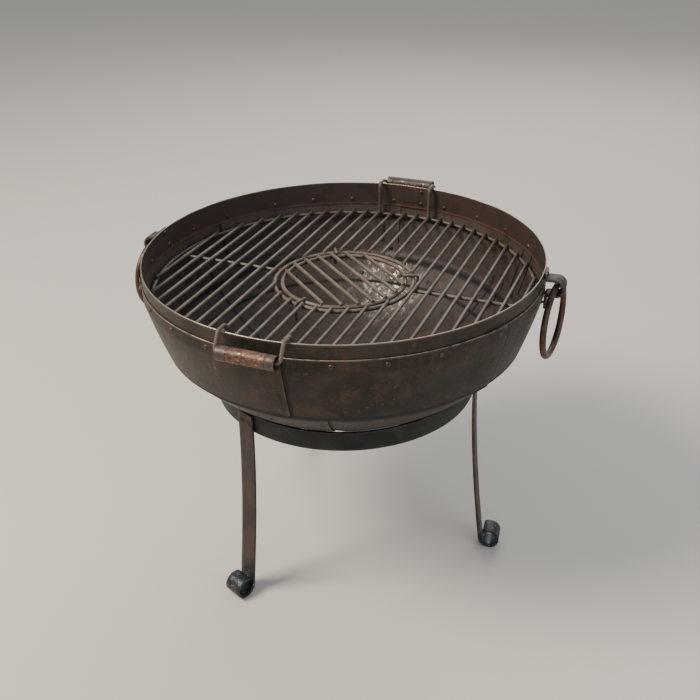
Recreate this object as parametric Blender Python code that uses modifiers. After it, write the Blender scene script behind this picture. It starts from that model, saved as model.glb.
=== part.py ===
"""Riveted iron fire bowl (kadai) on a three-legged scroll-foot stand, with a lift-out cooking grate.

Metres, +Z up.  The origin is on the bowl's axis at floor level.  An azimuth is an angle about
that axis, in degrees from -Y (the front) towards +X.  Depths are measured down from the rim.
"""
import bpy
import bmesh
from math import acos, asin, atan2, cos, degrees, hypot, pi, radians, sin, sqrt, tan
from mathutils import Matrix, Vector

# ---------------------------------------------------------------- driving dimensions
GAP = 0.0003                 # clearance between touching pieces
SEGMENTS = 72                # facets round the bowl and the stand ring
FACET = 360.0 / SEGMENTS     # degrees per facet
SHEET = 0.0016               # bowl sheet thickness

RIM_RADIUS = 0.310           # outer radius of the rim band
BAND_HEIGHT = 0.041
BAND_SHOWING = 0.0215        # part of the band left showing above the panels
BAND_LAP_AZ = 149.5          # where the band's inner end shows

PANELS = 6
PANEL_DEPTH = 0.1305         # depth of the panels' lower edge
PANEL_TUCK = 0.0265          # how far a panel draws in from top to bottom
PANEL_CURVE = 1.15           # 1 draws it in as a cone, 2 as a parabola
PANEL_SEAM_AZ = -15.5        # edge of the first lapped seam
PANEL_ROWS = 4

LOWER_PLATES = 3
LOWER_LAP = 0.022            # height of the lower plates' flange inside the panels
LOWER_SEAM_AZ = -5.5
LOWER_ROWS = 4
BOWL_DEPTH = 0.267
BASE_HOLE_RADIUS = 0.124     # inner edge of the lower plates
BASE_LAP = 0.022             # how far the base disc runs out under them
BASE_ROWS = 3

RIVET_HEAD_RADIUS = 0.0037
RIVET_HEAD_HEIGHT = 0.0016
RIVET_SHANK_RADIUS = 0.0019
RIVET_SIDES = 6

RING_RADIUS = 0.2135         # stand ring, outer
RING_HEIGHT = 0.032
BAR_THICKNESS = 0.005        # flat bar of the ring and the legs
LEG_WIDTH = 0.032
LEG_AZIMUTHS = (-45.5, 74.5, 194.5)
LEG_LENGTH = 0.2905          # from under the ring to the start of the scroll
LEG_END_LEAN = 7.5           # degrees out of vertical where the scroll begins
LEG_CURVE_POWER = 1.6
SCROLL_RADIUS = 0.016        # centre line of the scroll
SCROLL_SWEEP = 300
SCROLL_STEP = 15
LEG_RIVET_SPACING = 0.0180
LEG_RIVET_HEAD_RADIUS = 0.0048
LEG_RIVET_HEAD_HEIGHT = 0.0024
LEG_RIVET_SHANK_RADIUS = 0.0028

GRATE_DEPTH = 0.0505         # depth of the cooking bars' centre lines
ROD_RADIUS = 0.0029
GRATE_INSET = 0.011          # outer rod ring's centre line inside the rim
OPENING_RADIUS = 0.1095      # centre line of the rod ring round the middle opening
BAR_PITCH = 0.0235
BAR_TURN = 22.7              # degrees from +Y towards +X
WELD_BITE = 0.0010           # how far welded rods sink into each other
CROSS_ROD_SHARE = 0.96       # cross rods a little thinner than the rings they meet

MIDDLE_INSET = 0.0125        # middle grate's ring inside the opening's ring
MIDDLE_BAR_PITCH = 0.0232
MIDDLE_BAR_TURN = -26.0
HOOK_ANGLES = (0.0, 97.0, 231.0)   # degrees from +X towards +Y
HOOK_RADIUS = 0.0024
HOOK_DROP = 0.028
HOOK_REACH = 0.0072          # past the opening ring's centre line

HANDLE_BARS = 2              # handle rods stand on this bar either side of the middle
TUBE_STANDOFF = 0.0067       # tube's side outside the rim
TUBE_DEPTHS = {"front": 0.0205, "back": 0.0045}   # handle axes below the rim: the back rod is bent down less
TUBE_RADIUS = 0.0108
TUBE_WALL = 0.0015
TUBE_LENGTH = 0.085
HANDLE_BEND = 0.007
TUBE_SIDES = 20

LOOP_AZIMUTHS = (72.0, -108.0)
LOOP_WIDTH = 0.025
LOOP_THICKNESS = 0.004
LOOP_CLEARANCE = 0.0046      # round the lifting ring inside its loop
LOOP_STANDOFF = 0.0129       # lifting ring's side outside the rim
LOOP_DEPTH = 0.0250
LOOP_TOP_FLANGE = 0.0115
LOOP_LOWER_FLANGE = 0.0210
LOOP_RIVET_INSET = 0.0052    # rivet centre from a flange's free end
LIFT_RING_RADIUS = 0.0555    # centre line
LIFT_RING_SKEW = 9.0        # degrees by which the rings hang skewed in their loops
LIFT_RING_ROD = 0.0056
LIFT_RING_FACETS = 36

# ---------------------------------------------------------------- dimensions that follow
SHEET_STEP = SHEET + GAP                      # one sheet lapped on another
SEAT_RADIUS = RING_RADIUS - BAR_THICKNESS     # inner edge of the ring, where the bowl sits
PANEL_TOP_RADIUS = RIM_RADIUS + SHEET_STEP    # outside face of the panels at their straight top
FLAT_FACTOR = cos(radians(FACET / 2))         # middle of a facet against its corners
BASE_RADIUS = BASE_HOLE_RADIUS + BASE_LAP
GRATE_RADIUS = RIM_RADIUS - GRATE_INSET
BARS_EACH_SIDE = int((GRATE_RADIUS - 2 * ROD_RADIUS) / BAR_PITCH)
MIDDLE_RADIUS = OPENING_RADIUS - MIDDLE_INSET
TUBE_OUT = TUBE_RADIUS + TUBE_STANDOFF        # handle axis outside the rim
LOOP_ROOM = LIFT_RING_ROD + LOOP_CLEARANCE    # half the space inside a loop
LOOP_OUT = LIFT_RING_ROD + LOOP_STANDOFF      # lifting ring's axis outside the rim
MIDDLE_BARS_EACH_SIDE = int((MIDDLE_RADIUS - 2 * ROD_RADIUS) / MIDDLE_BAR_PITCH)


def panel_radius(depth):
    """Outside radius of the panels: straight over the band, then drawn in almost as a cone."""
    below = max(0.0, depth - BAND_HEIGHT)
    return PANEL_TOP_RADIUS - PANEL_TUCK * (below / (PANEL_DEPTH - BAND_HEIGHT)) ** PANEL_CURVE


LOWER_TOP_RADIUS = panel_radius(PANEL_DEPTH) - 1.25 * SHEET_STEP
BOWL_CENTRE = (LOWER_TOP_RADIUS ** 2 + PANEL_DEPTH ** 2 - BOWL_DEPTH ** 2) / (2 * (BOWL_DEPTH - PANEL_DEPTH))
BOWL_SPHERE = BOWL_CENTRE + BOWL_DEPTH        # radius of the round bottom, centred above the rim


def bottom_depth(radius, sphere=BOWL_SPHERE):
    return sqrt(sphere ** 2 - radius ** 2) - BOWL_CENTRE


SCROLL_FLAT = SCROLL_RADIUS * cos(radians(SCROLL_STEP / 2)) + BAR_THICKNESS / 2
SCROLL_START = SCROLL_FLAT - SCROLL_RADIUS * sin(radians(LEG_END_LEAN))
RING_BOTTOM = SCROLL_START + LEG_LENGTH
RING_TOP = RING_BOTTOM + RING_HEIGHT
RIM_HEIGHT = RING_TOP + GAP + bottom_depth(SEAT_RADIUS)
GRATE_HEIGHT = RIM_HEIGHT - GRATE_DEPTH
RODS_APART = 2 * ROD_RADIUS - WELD_BITE
RING_ROD_HEIGHT = GRATE_HEIGHT - RODS_APART

# ---------------------------------------------------------------- scene, materials, helpers
for old in list(bpy.data.objects):
    bpy.data.objects.remove(old, do_unlink=True)
parts = bpy.data.collections.new("fire_bowl")
cutters = bpy.data.collections.new("cutters")
bpy.context.scene.collection.children.link(parts)
bpy.context.scene.collection.children.link(cutters)


def material(name, colour, roughness, metallic):
    made = bpy.data.materials.new(name)
    made.use_nodes = True
    shader = made.node_tree.nodes["Principled BSDF"]
    shader.inputs["Base Color"].default_value = (*colour, 1.0)
    shader.inputs["Roughness"].default_value = roughness
    shader.inputs["Metallic"].default_value = metallic
    return made


OILED_SHEET = material("oiled_sheet", (0.045, 0.034, 0.028), 0.55, 0.6)
RIVET_IRON = material("rivet_iron", (0.10, 0.075, 0.060), 0.50, 0.7)
STAND_BAR = material("stand_bar", (0.040, 0.042, 0.040), 0.50, 0.6)
GRATE_ROD = material("grate_rod", (0.20, 0.17, 0.14), 0.50, 0.8)
MIDDLE_ROD = material("middle_rod", (0.17, 0.12, 0.085), 0.60, 0.7)
TUBE_STEEL = material("tube_steel", (0.16, 0.075, 0.050), 0.55, 0.6)
FORGED_RING = material("forged_ring", (0.10, 0.060, 0.045), 0.50, 0.7)


def add(name, mesh, finish, smooth_angle=35.0):
    """Make a named part of a mesh."""
    mesh.name = name
    mesh.materials.clear()
    mesh.materials.append(finish)
    mesh.shade_smooth()
    mesh.set_sharp_from_angle(angle=radians(smooth_angle))
    made = bpy.data.objects.new(name, mesh)
    parts.objects.link(made)
    return made


def radial(azimuth):
    return Vector((sin(radians(azimuth)), -cos(radians(azimuth)), 0.0))


def tangent(azimuth):
    return Vector((cos(radians(azimuth)), sin(radians(azimuth)), 0.0))


UP = Vector((0.0, 0.0, 1.0))


def frame_at(place, x_axis, y_axis, z_axis):
    """Matrix that puts the local axes on the three given directions."""
    turn = Matrix((x_axis, y_axis, z_axis)).transposed().to_4x4()
    return Matrix.Translation(place) @ turn


def from_bmesh(bm, name):
    bmesh.ops.recalc_face_normals(bm, faces=bm.faces[:])
    mesh = bpy.data.meshes.new(name)
    bm.to_mesh(mesh)
    bm.free()
    return mesh


def cut(target, cutter):
    boolean = target.modifiers.new("holes", "BOOLEAN")
    boolean.operation = "DIFFERENCE"
    boolean.solver = "EXACT"
    boolean.object = cutter


# ---------------------------------------------------------------- rivets and their holes
class RivetPattern:
    """Places of like rivets, the cutter for their holes, and the rivets themselves."""

    def __init__(self, name, head_radius, head_height, shank_radius):
        self.name = name
        self.head_radius = head_radius
        self.head_height = head_height
        self.shank_radius = shank_radius
        self.places = []

    def place(self, outer, inward, grip):
        """A rivet whose head seats at outer and whose shank runs along inward through grip."""
        inward = inward.normalized()
        side = inward.orthogonal().normalized()
        seat = frame_at(outer - inward * GAP, side, inward.cross(side), inward)
        self.places.append((seat, grip + 2 * GAP))

    def turned(self, grip):
        """Two domed heads on a shank, turned about Z, the outer head at -Z."""
        rim = self.head_radius
        tall = self.head_height
        outline = [(0, -tall), (rim * 0.72, -tall * 0.62), (rim, 0), (self.shank_radius, 0)]
        outline += [(r, grip - z) for r, z in reversed(outline)]
        bm = bmesh.new()
        line = [bm.verts.new((r, 0, z)) for r, z in outline]
        edges = [bm.edges.new(pair) for pair in zip(line, line[1:])]
        bmesh.ops.spin(bm, geom=line + edges, axis=(0, 0, 1), cent=(0, 0, 0),
                       steps=RIVET_SIDES, angle=2 * pi)
        bmesh.ops.remove_doubles(bm, verts=bm.verts[:], dist=1e-6)
        return from_bmesh(bm, self.name)

    def make_cutter(self):
        bm = bmesh.new()
        for seat, grip in self.places:
            reach = grip / 2 + self.head_height
            move = seat @ Matrix.Translation((0, 0, grip / 2)) @ Matrix.Rotation(pi / 2, 4, "Z")
            bmesh.ops.create_cone(bm, cap_ends=True, segments=RIVET_SIDES, matrix=move, depth=2 * reach,
                                  radius1=self.shank_radius + GAP, radius2=self.shank_radius + GAP)
        cutter = bpy.data.objects.new(self.name + "_holes", from_bmesh(bm, self.name + "_holes"))
        cutter.hide_render = True
        cutter.display_type = "WIRE"
        cutters.objects.link(cutter)
        return cutter

    def make_rivets(self, finish):
        for i, (seat, grip) in enumerate(self.places):
            rivet = add("%s_%d" % (self.name, i + 1), self.turned(grip), finish)
            rivet.matrix_world = seat


def sheet_pattern(name):
    return RivetPattern(name, RIVET_HEAD_RADIUS, RIVET_HEAD_HEIGHT, RIVET_SHANK_RADIUS)


# ---------------------------------------------------------------- lapped sheets of the bowl
def normals_of(profile):
    """Outward normals, in (radius, height), of a profile that is listed from bottom to top."""
    found = []
    for i in range(len(profile)):
        below = profile[max(i - 1, 0)]
        above = profile[min(i + 1, len(profile) - 1)]
        run, rise = above[0] - below[0], above[1] - below[1]
        length = hypot(run, rise)
        found.append((rise / length, -run / length))
    return found


def lapped_sheet(name, profile, start, facets, finish, lift_start=0.0, lift_end=0.0):
    """Sheet whose outside face is the (radius, depth) profile; one end facet may be joggled."""
    heights = [(r, RIM_HEIGHT - depth) for r, depth in profile]
    normals = normals_of(heights)
    rows = len(profile) - 1
    bm = bmesh.new()
    bmesh.ops.create_grid(bm, x_segments=facets, y_segments=rows, size=0.5)
    for vert in bm.verts:
        column = round((vert.co.x + 0.5) * facets)
        row = round((vert.co.y + 0.5) * rows)
        lift = 0.0
        if column <= 1:
            lift = lift_start
        if column >= facets - 1:
            lift = lift_end
        radius = heights[row][0] + lift * normals[row][0]
        height = heights[row][1] + lift * normals[row][1]
        vert.co = radial(start + column * FACET) * radius + UP * height
    mesh = bpy.data.meshes.new(name)
    bm.to_mesh(mesh)
    bm.free()
    made = add(name, mesh, finish)
    wall = made.modifiers.new("wall", "SOLIDIFY")
    wall.thickness = SHEET
    wall.offset = -1.0
    wall.use_even_offset = True
    return made


def face_point(radius, depth, azimuth):
    """Point on the middle of a facet of the bowl."""
    return radial(azimuth) * (radius * FLAT_FACTOR) + UP * (RIM_HEIGHT - depth)


def inward_at(slope, azimuth):
    """Direction into the bowl, square to a face that leans in by slope (degrees) as it goes down."""
    return -radial(azimuth) * cos(radians(slope)) + UP * sin(radians(slope))


def on_panel(depth):
    """Radius and inward slope (degrees) of the panels' facets at a depth."""
    for low, high in zip(panel_profile, panel_profile[1:]):
        if low[1] >= depth >= high[1]:
            share = (low[1] - depth) / (low[1] - high[1])
            slope = degrees(atan2(high[0] - low[0], low[1] - high[1]))
            return low[0] + (high[0] - low[0]) * share, slope


# rim band: a strap whose ends lap at the back, the visible end inside
band_profile = [(RIM_RADIUS, BAND_HEIGHT), (RIM_RADIUS, 0.0)]
band = lapped_sheet("rim_band", band_profile, BAND_LAP_AZ - 360, SEGMENTS + 1, OILED_SHEET,
                    lift_start=-SHEET_STEP)

panel_profile = [(panel_radius(d), d) for d in
                 [PANEL_DEPTH - i * (PANEL_DEPTH - BAND_HEIGHT) / PANEL_ROWS for i in range(PANEL_ROWS + 1)]]
panel_profile.append((PANEL_TOP_RADIUS, BAND_SHOWING))
panel_facets = SEGMENTS // PANELS
panels = []
for i in range(PANELS):
    first = PANEL_SEAM_AZ - FACET + i * panel_facets * FACET
    panels.append(lapped_sheet("panel_%d" % (i + 1), panel_profile, first, panel_facets + 1, OILED_SHEET,
                               lift_end=SHEET_STEP))

# lower plates: a flange inside the panels, then the round bottom down to the base hole
flange_depth = PANEL_DEPTH - LOWER_LAP
hole_angle = asin(BASE_HOLE_RADIUS / BOWL_SPHERE)
lap_angle = asin(BASE_RADIUS / BOWL_SPHERE)
top_angle = asin(LOWER_TOP_RADIUS / BOWL_SPHERE)
bottom_angles = [hole_angle]
bottom_angles += [lap_angle + (top_angle - lap_angle) * i / LOWER_ROWS for i in range(LOWER_ROWS + 1)]
lower_profile = [(BOWL_SPHERE * sin(a), BOWL_SPHERE * cos(a) - BOWL_CENTRE) for a in bottom_angles]
lower_profile.append((panel_radius(flange_depth) - 1.25 * SHEET_STEP, flange_depth))
lower_facets = SEGMENTS // LOWER_PLATES
lower_plates = []
for i in range(LOWER_PLATES):
    first = LOWER_SEAM_AZ - FACET + i * lower_facets * FACET
    lower_plates.append(lapped_sheet("lower_plate_%d" % (i + 1), lower_profile, first, lower_facets + 1,
                                     OILED_SHEET, lift_start=-SHEET_STEP))

# base disc: a dished round lapped under the lower plates
base_sphere = BOWL_SPHERE + SHEET_STEP
base_profile = bpy.data.meshes.new("base_profile")
base_angles = [hole_angle * i / BASE_ROWS for i in range(BASE_ROWS + 1)] + [lap_angle]
base_line = [(base_sphere * sin(a), 0.0, RIM_HEIGHT + BOWL_CENTRE - base_sphere * cos(a))
             for a in reversed(base_angles)]
base_profile.from_pydata(base_line, [(i, i + 1) for i in range(BASE_ROWS + 1)], [])
base_disc = add("base_disc", base_profile, OILED_SHEET)
base_disc.rotation_euler = (0, 0, radians(PANEL_SEAM_AZ - 90))
turn = base_disc.modifiers.new("turn", "SCREW")
turn.steps = SEGMENTS
turn.render_steps = SEGMENTS
turn.merge_threshold = 0.00005
turn.use_merge_vertices = True
base_wall = base_disc.modifiers.new("wall", "SOLIDIFY")
base_wall.thickness = SHEET
base_wall.offset = -1.0

# rivets of the bowl
band_lap_at = BAND_LAP_AZ + FACET / 2
rim_row_depth = (BAND_SHOWING + BAND_HEIGHT) / 2
band_lap_rivets = sheet_pattern("band_lap_rivet")
band_lap_rivets.place(face_point(RIM_RADIUS, BAND_SHOWING * 0.42, band_lap_at), -radial(band_lap_at),
                      2 * SHEET + GAP)
band_lap_rivets.place(face_point(PANEL_TOP_RADIUS, rim_row_depth, band_lap_at), -radial(band_lap_at),
                      3 * SHEET + 2 * GAP)

seam_azimuths = [PANEL_SEAM_AZ - FACET / 2 + i * panel_facets * FACET for i in range(PANELS)]
rim_rivets = sheet_pattern("rim_rivet")
for at in seam_azimuths:
    rim_rivets.place(face_point(PANEL_TOP_RADIUS + SHEET_STEP, rim_row_depth, at), -radial(at),
                     3 * SHEET + 2 * GAP)

seam_rivets = sheet_pattern("seam_rivet")
seam_depth = BAND_HEIGHT + (PANEL_DEPTH - LOWER_LAP - BAND_HEIGHT) * 0.55
for at in seam_azimuths:
    radius, slope = on_panel(seam_depth)
    seat = face_point(radius, seam_depth, at) - inward_at(slope, at) * SHEET_STEP
    seam_rivets.place(seat, inward_at(slope, at), 2 * SHEET + GAP)

lower_rivets = sheet_pattern("lower_rivet")
lower_row_depth = PANEL_DEPTH - LOWER_LAP * 0.55
for at in seam_azimuths:
    radius, slope = on_panel(lower_row_depth)
    seat = face_point(radius, lower_row_depth, at)
    lower_rivets.place(seat - inward_at(slope, at) * SHEET_STEP, inward_at(slope, at), 3.4 * SHEET_STEP)

band_lap_holes = band_lap_rivets.make_cutter()
rim_holes = rim_rivets.make_cutter()
seam_holes = seam_rivets.make_cutter()
lower_holes = lower_rivets.make_cutter()
cut(band, band_lap_holes)
cut(band, rim_holes)
for panel in panels:
    cut(panel, band_lap_holes)
    cut(panel, rim_holes)
    cut(panel, seam_holes)
    cut(panel, lower_holes)
for plate in lower_plates:
    cut(plate, lower_holes)
for pattern in (band_lap_rivets, rim_rivets, seam_rivets, lower_rivets):
    pattern.make_rivets(RIVET_IRON)


# ---------------------------------------------------------------- flat bar bent on edge of a path
def strip_outline(path, thickness):
    """Closed outline of a strip of even thickness along a path of (x, y) points, mitred."""
    left, right = [], []
    for i, (x, y) in enumerate(path):
        before = path[max(i - 1, 0)]
        after = path[min(i + 1, len(path) - 1)]
        into = Vector((x - before[0], y - before[1])) if i > 0 else None
        out = Vector((after[0] - x, after[1] - y)) if i < len(path) - 1 else None
        into = (into or out).normalized()
        out = (out or into).normalized()
        across = Vector((-(into.y + out.y), into.x + out.x)).normalized()
        reach = thickness / 2 / max(across.dot(Vector((-into.y, into.x))), 0.5)
        left.append((x + across.x * reach, y + across.y * reach))
        right.append((x - across.x * reach, y - across.y * reach))
    return left + right[::-1]


def bent_bar(name, path, thickness, width, azimuth, finish):
    """Flat bar bent to a path of (radius, height), its width square to the radius."""
    outline = strip_outline(path, thickness)
    curve = bpy.data.curves.new(name, "CURVE")
    curve.dimensions = "2D"
    curve.fill_mode = "BOTH"
    curve.extrude = width / 2
    spline = curve.splines.new("POLY")
    spline.points.add(len(outline) - 1)
    for point, (x, y) in zip(spline.points, outline):
        point.co = (x, y, 0, 1)
    spline.use_cyclic_u = True
    holder = bpy.data.objects.new(name + "_outline", curve)
    parts.objects.link(holder)
    holder.matrix_world = frame_at(Vector(), radial(azimuth), UP, -tangent(azimuth))
    bpy.context.view_layer.update()
    ready = holder.evaluated_get(bpy.context.evaluated_depsgraph_get())
    mesh = bpy.data.meshes.new_from_object(ready)
    bm = bmesh.new()
    bm.from_mesh(mesh)
    bmesh.ops.remove_doubles(bm, verts=bm.verts[:], dist=1e-6)
    bmesh.ops.recalc_face_normals(bm, faces=bm.faces[:])
    bm.to_mesh(mesh)
    bm.free()
    place = holder.matrix_world.copy()
    bpy.data.objects.remove(holder, do_unlink=True)
    bpy.data.curves.remove(curve)
    made = add(name, mesh, finish)
    made.matrix_world = place
    return made


# ---------------------------------------------------------------- stand
ring_mesh = bpy.data.meshes.new("stand_ring")
ring_section = [(RING_RADIUS, RING_TOP), (RING_RADIUS, RING_BOTTOM), (SEAT_RADIUS, RING_BOTTOM),
                (SEAT_RADIUS, RING_TOP)]
ring_mesh.from_pydata([(r, 0.0, z) for r, z in ring_section], [(0, 1), (1, 2), (2, 3), (3, 0)], [])
stand_ring = add("stand_ring", ring_mesh, STAND_BAR)
stand_ring.rotation_euler = (0, 0, radians(PANEL_SEAM_AZ - 90))
ring_turn = stand_ring.modifiers.new("turn", "SCREW")
ring_turn.steps = SEGMENTS
ring_turn.render_steps = SEGMENTS
ring_turn.merge_threshold = 0.00005
ring_turn.use_merge_vertices = True

leg_top_radius = RING_RADIUS + GAP + BAR_THICKNESS / 2
leg_flare = tan(radians(LEG_END_LEAN)) * LEG_LENGTH / LEG_CURVE_POWER
leg_steps = 10
leg_path = [(leg_top_radius, RING_TOP)]
for i in range(leg_steps + 1):
    share = i / leg_steps
    leg_path.append((leg_top_radius + leg_flare * share ** LEG_CURVE_POWER, RING_BOTTOM - share * LEG_LENGTH))
lean = radians(LEG_END_LEAN)
scroll_centre = (leg_path[-1][0] + SCROLL_RADIUS * cos(lean), leg_path[-1][1] + SCROLL_RADIUS * sin(lean))
for i in range(1, SCROLL_SWEEP // SCROLL_STEP + 1):
    angle = pi + lean + radians(i * SCROLL_STEP)
    leg_path.append((scroll_centre[0] + SCROLL_RADIUS * cos(angle),
                     scroll_centre[1] + SCROLL_RADIUS * sin(angle)))
legs = [bent_bar("leg_%d" % (i + 1), leg_path, BAR_THICKNESS, LEG_WIDTH, azimuth, STAND_BAR)
        for i, azimuth in enumerate(LEG_AZIMUTHS)]

leg_rivets = RivetPattern("leg_rivet", LEG_RIVET_HEAD_RADIUS, LEG_RIVET_HEAD_HEIGHT, LEG_RIVET_SHANK_RADIUS)
for azimuth in LEG_AZIMUTHS:
    for side in (-0.5, 0.5):
        seat = radial(azimuth) * (leg_top_radius + BAR_THICKNESS / 2) + UP * (RING_TOP - RING_HEIGHT / 2)
        leg_rivets.place(seat + tangent(azimuth) * side * LEG_RIVET_SPACING, -radial(azimuth),
                         2 * BAR_THICKNESS + 2 * GAP)
leg_holes = leg_rivets.make_cutter()
cut(stand_ring, leg_holes)
for leg in legs:
    cut(leg, leg_holes)
leg_rivets.make_rivets(STAND_BAR)


# ---------------------------------------------------------------- round rod work
def rod(name, points, radius, finish, closed=False, resolution=1):
    """Round rod along points, as a curve with filled ends."""
    curve = bpy.data.curves.new(name, "CURVE")
    curve.dimensions = "3D"
    curve.bevel_depth = radius
    curve.bevel_resolution = resolution
    curve.use_fill_caps = True
    spline = curve.splines.new("POLY")
    spline.points.add(len(points) - 1)
    for point, place in zip(spline.points, points):
        point.co = (*place, 1)
    spline.use_cyclic_u = closed
    curve.materials.append(finish)
    made = bpy.data.objects.new(name, curve)
    parts.objects.link(made)
    return made


def circle_points(radius, height, count=SEGMENTS):
    return [radial(i * 360 / count) * radius + UP * height for i in range(count)]


def as_mesh(curve_object, finish):
    """The same piece as a closed mesh object, so that it can be joined to others."""
    bpy.context.view_layer.update()
    ready = curve_object.evaluated_get(bpy.context.evaluated_depsgraph_get())
    bm = bmesh.new()
    whole = bpy.data.meshes.new_from_object(ready)
    bm.from_mesh(whole)
    bpy.data.meshes.remove(whole)
    bmesh.ops.remove_doubles(bm, verts=bm.verts[:], dist=1e-6)
    name = curve_object.name
    place = curve_object.matrix_world.copy()
    bpy.data.objects.remove(curve_object, do_unlink=True)
    made = add(name, from_bmesh(bm, name), finish)
    made.matrix_world = place
    return made


def weld(target, name, mesh):
    """Join a mesh of separate closed rods to the target."""
    joined = bpy.data.objects.new(name, mesh)
    joined.hide_render = True
    joined.display_type = "WIRE"
    cutters.objects.link(joined)
    union = target.modifiers.new(name, "BOOLEAN")
    union.operation = "UNION"
    union.solver = "EXACT"
    union.object = joined


def straight_bars(name, ends, radius):
    """Mesh of straight round bars, given as pairs of ends."""
    bm = bmesh.new()
    for start, end in ends:
        along = (end - start).normalized()
        across = along.orthogonal().normalized()
        middle = frame_at((start + end) / 2, across, along.cross(across), along)
        bmesh.ops.create_cone(bm, cap_ends=True, segments=6, radius1=radius, radius2=radius,
                              depth=(end - start).length, matrix=middle)
    return from_bmesh(bm, name)


def bar_direction(turn_degrees):
    return Vector((sin(radians(turn_degrees)), cos(radians(turn_degrees)), 0.0))


# ---------------------------------------------------------------- cooking grate, one weldment
grate = as_mesh(rod("cooking_grate", circle_points(GRATE_RADIUS, RING_ROD_HEIGHT), ROD_RADIUS, GRATE_ROD,
                    closed=True), GRATE_ROD)
opening = as_mesh(rod("opening_ring", circle_points(OPENING_RADIUS, RING_ROD_HEIGHT, 48), ROD_RADIUS,
                      GRATE_ROD, closed=True), GRATE_ROD)
weld(grate, "opening_ring_weld", opening.data)
bpy.data.objects.remove(opening, do_unlink=True)

along_bars = bar_direction(BAR_TURN)
across_bars = Vector((along_bars.y, -along_bars.x, 0.0))
bar_level = UP * GRATE_HEIGHT
bar_ends = []
for k in range(-BARS_EACH_SIDE, BARS_EACH_SIDE + 1):
    offset = k * BAR_PITCH
    middle = across_bars * offset + bar_level
    far = sqrt(GRATE_RADIUS ** 2 - offset ** 2) + ROD_RADIUS * 0.3
    if abs(offset) < OPENING_RADIUS - ROD_RADIUS:
        near = sqrt(OPENING_RADIUS ** 2 - offset ** 2) - ROD_RADIUS * 0.3
        bar_ends.append((middle + along_bars * near, middle + along_bars * far))
        bar_ends.append((middle - along_bars * far, middle - along_bars * near))
    else:
        bar_ends.append((middle - along_bars * far, middle + along_bars * far))
weld(grate, "grate_bars", straight_bars("grate_bars", bar_ends, ROD_RADIUS))

cross_level = UP * RING_ROD_HEIGHT
cross_ends = []
for side in (-1, 1):
    inner_end = across_bars * side * (OPENING_RADIUS + ROD_RADIUS * 0.2)
    outer_end = across_bars * side * (GRATE_RADIUS - ROD_RADIUS * 0.2)
    cross_ends.append((inner_end + cross_level, outer_end + cross_level))
weld(grate, "cross_rods", straight_bars("cross_rods", cross_ends, ROD_RADIUS * CROSS_ROD_SHARE))

# ---------------------------------------------------------------- lift-out middle grate
middle_grate = as_mesh(rod("middle_grate", circle_points(MIDDLE_RADIUS, RING_ROD_HEIGHT, 48), ROD_RADIUS,
                           MIDDLE_ROD, closed=True), MIDDLE_ROD)
along_middle = bar_direction(MIDDLE_BAR_TURN)
across_middle = Vector((along_middle.y, -along_middle.x, 0.0))
middle_ends = []
for k in range(-MIDDLE_BARS_EACH_SIDE, MIDDLE_BARS_EACH_SIDE + 1):
    offset = k * MIDDLE_BAR_PITCH
    half = sqrt(MIDDLE_RADIUS ** 2 - offset ** 2) + ROD_RADIUS * 0.3
    middle = across_middle * offset + bar_level
    middle_ends.append((middle - along_middle * half, middle + along_middle * half))
weld(middle_grate, "middle_bars", straight_bars("middle_bars", middle_ends, ROD_RADIUS))

hook_height = RING_ROD_HEIGHT + ROD_RADIUS + HOOK_RADIUS + GAP
for i, angle in enumerate(HOOK_ANGLES):
    out = Vector((cos(radians(angle)), sin(radians(angle)), 0.0))
    corner = OPENING_RADIUS + HOOK_REACH
    bend = HOOK_RADIUS * 1.4
    hook = [out * (MIDDLE_RADIUS - ROD_RADIUS) + UP * hook_height]
    for step in range(4):
        turned = radians(30 * step)
        hook.append(out * (corner - bend + bend * sin(turned)) + UP * (hook_height - bend + bend * cos(turned)))
    hook.append(out * corner + UP * (hook_height - HOOK_DROP))
    rod("hook_%d" % (i + 1), hook, HOOK_RADIUS, MIDDLE_ROD)

# ---------------------------------------------------------------- grate handles
handle_half = HANDLE_BARS * BAR_PITCH
foot_distance = sqrt(GRATE_RADIUS ** 2 - handle_half ** 2) - ROD_RADIUS
axis_distance = RIM_RADIUS + TUBE_OUT
over_rim = RIM_HEIGHT + ROD_RADIUS + GAP


def corner_arc(before, corner, after, radius, steps=4):
    """Points of a round bend between two straight runs."""
    into = (before - corner).normalized()
    away = (after - corner).normalized()
    half = acos(max(-1.0, min(1.0, into.dot(away)))) / 2
    reach = radius / tan(half)
    centre = corner + (into + away).normalized() * (radius / sin(half))
    start = (corner + into * reach - centre).normalized()
    end = (corner + away * reach - centre).normalized()
    sweep = start.angle(end)
    side = (end - start * start.dot(end)).normalized()
    return [centre + (start * cos(sweep * i / steps) + side * sin(sweep * i / steps)) * radius
            for i in range(steps + 1)]


def handle_rod(name, out, axis_height):
    """One rod: up from a bar, over the rim, down and through the tube, and back the same way."""
    sideways = out.cross(UP)

    def spot(side, distance, height):
        return sideways * side * handle_half + out * distance + UP * height

    def run(side):
        foot = spot(side, foot_distance, GRATE_HEIGHT + ROD_RADIUS + GAP)
        inside_top = spot(side, foot_distance, over_rim)
        outside_top = spot(side, RIM_RADIUS + ROD_RADIUS, over_rim)
        turn_in = spot(side, axis_distance, axis_height)
        return foot, inside_top, outside_top, turn_in

    left, right = run(1), run(-1)
    points = [left[0]]
    points += corner_arc(left[0], left[1], left[2], HANDLE_BEND)
    points += corner_arc(left[1], left[2], left[3], HANDLE_BEND)
    points += corner_arc(left[2], left[3], right[3], HANDLE_BEND)
    points += corner_arc(left[3], right[3], right[2], HANDLE_BEND)
    points += corner_arc(right[3], right[2], right[1], HANDLE_BEND)
    points += corner_arc(right[2], right[1], right[0], HANDLE_BEND)
    points.append(right[0])
    rod(name, points, ROD_RADIUS, GRATE_ROD)


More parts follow.
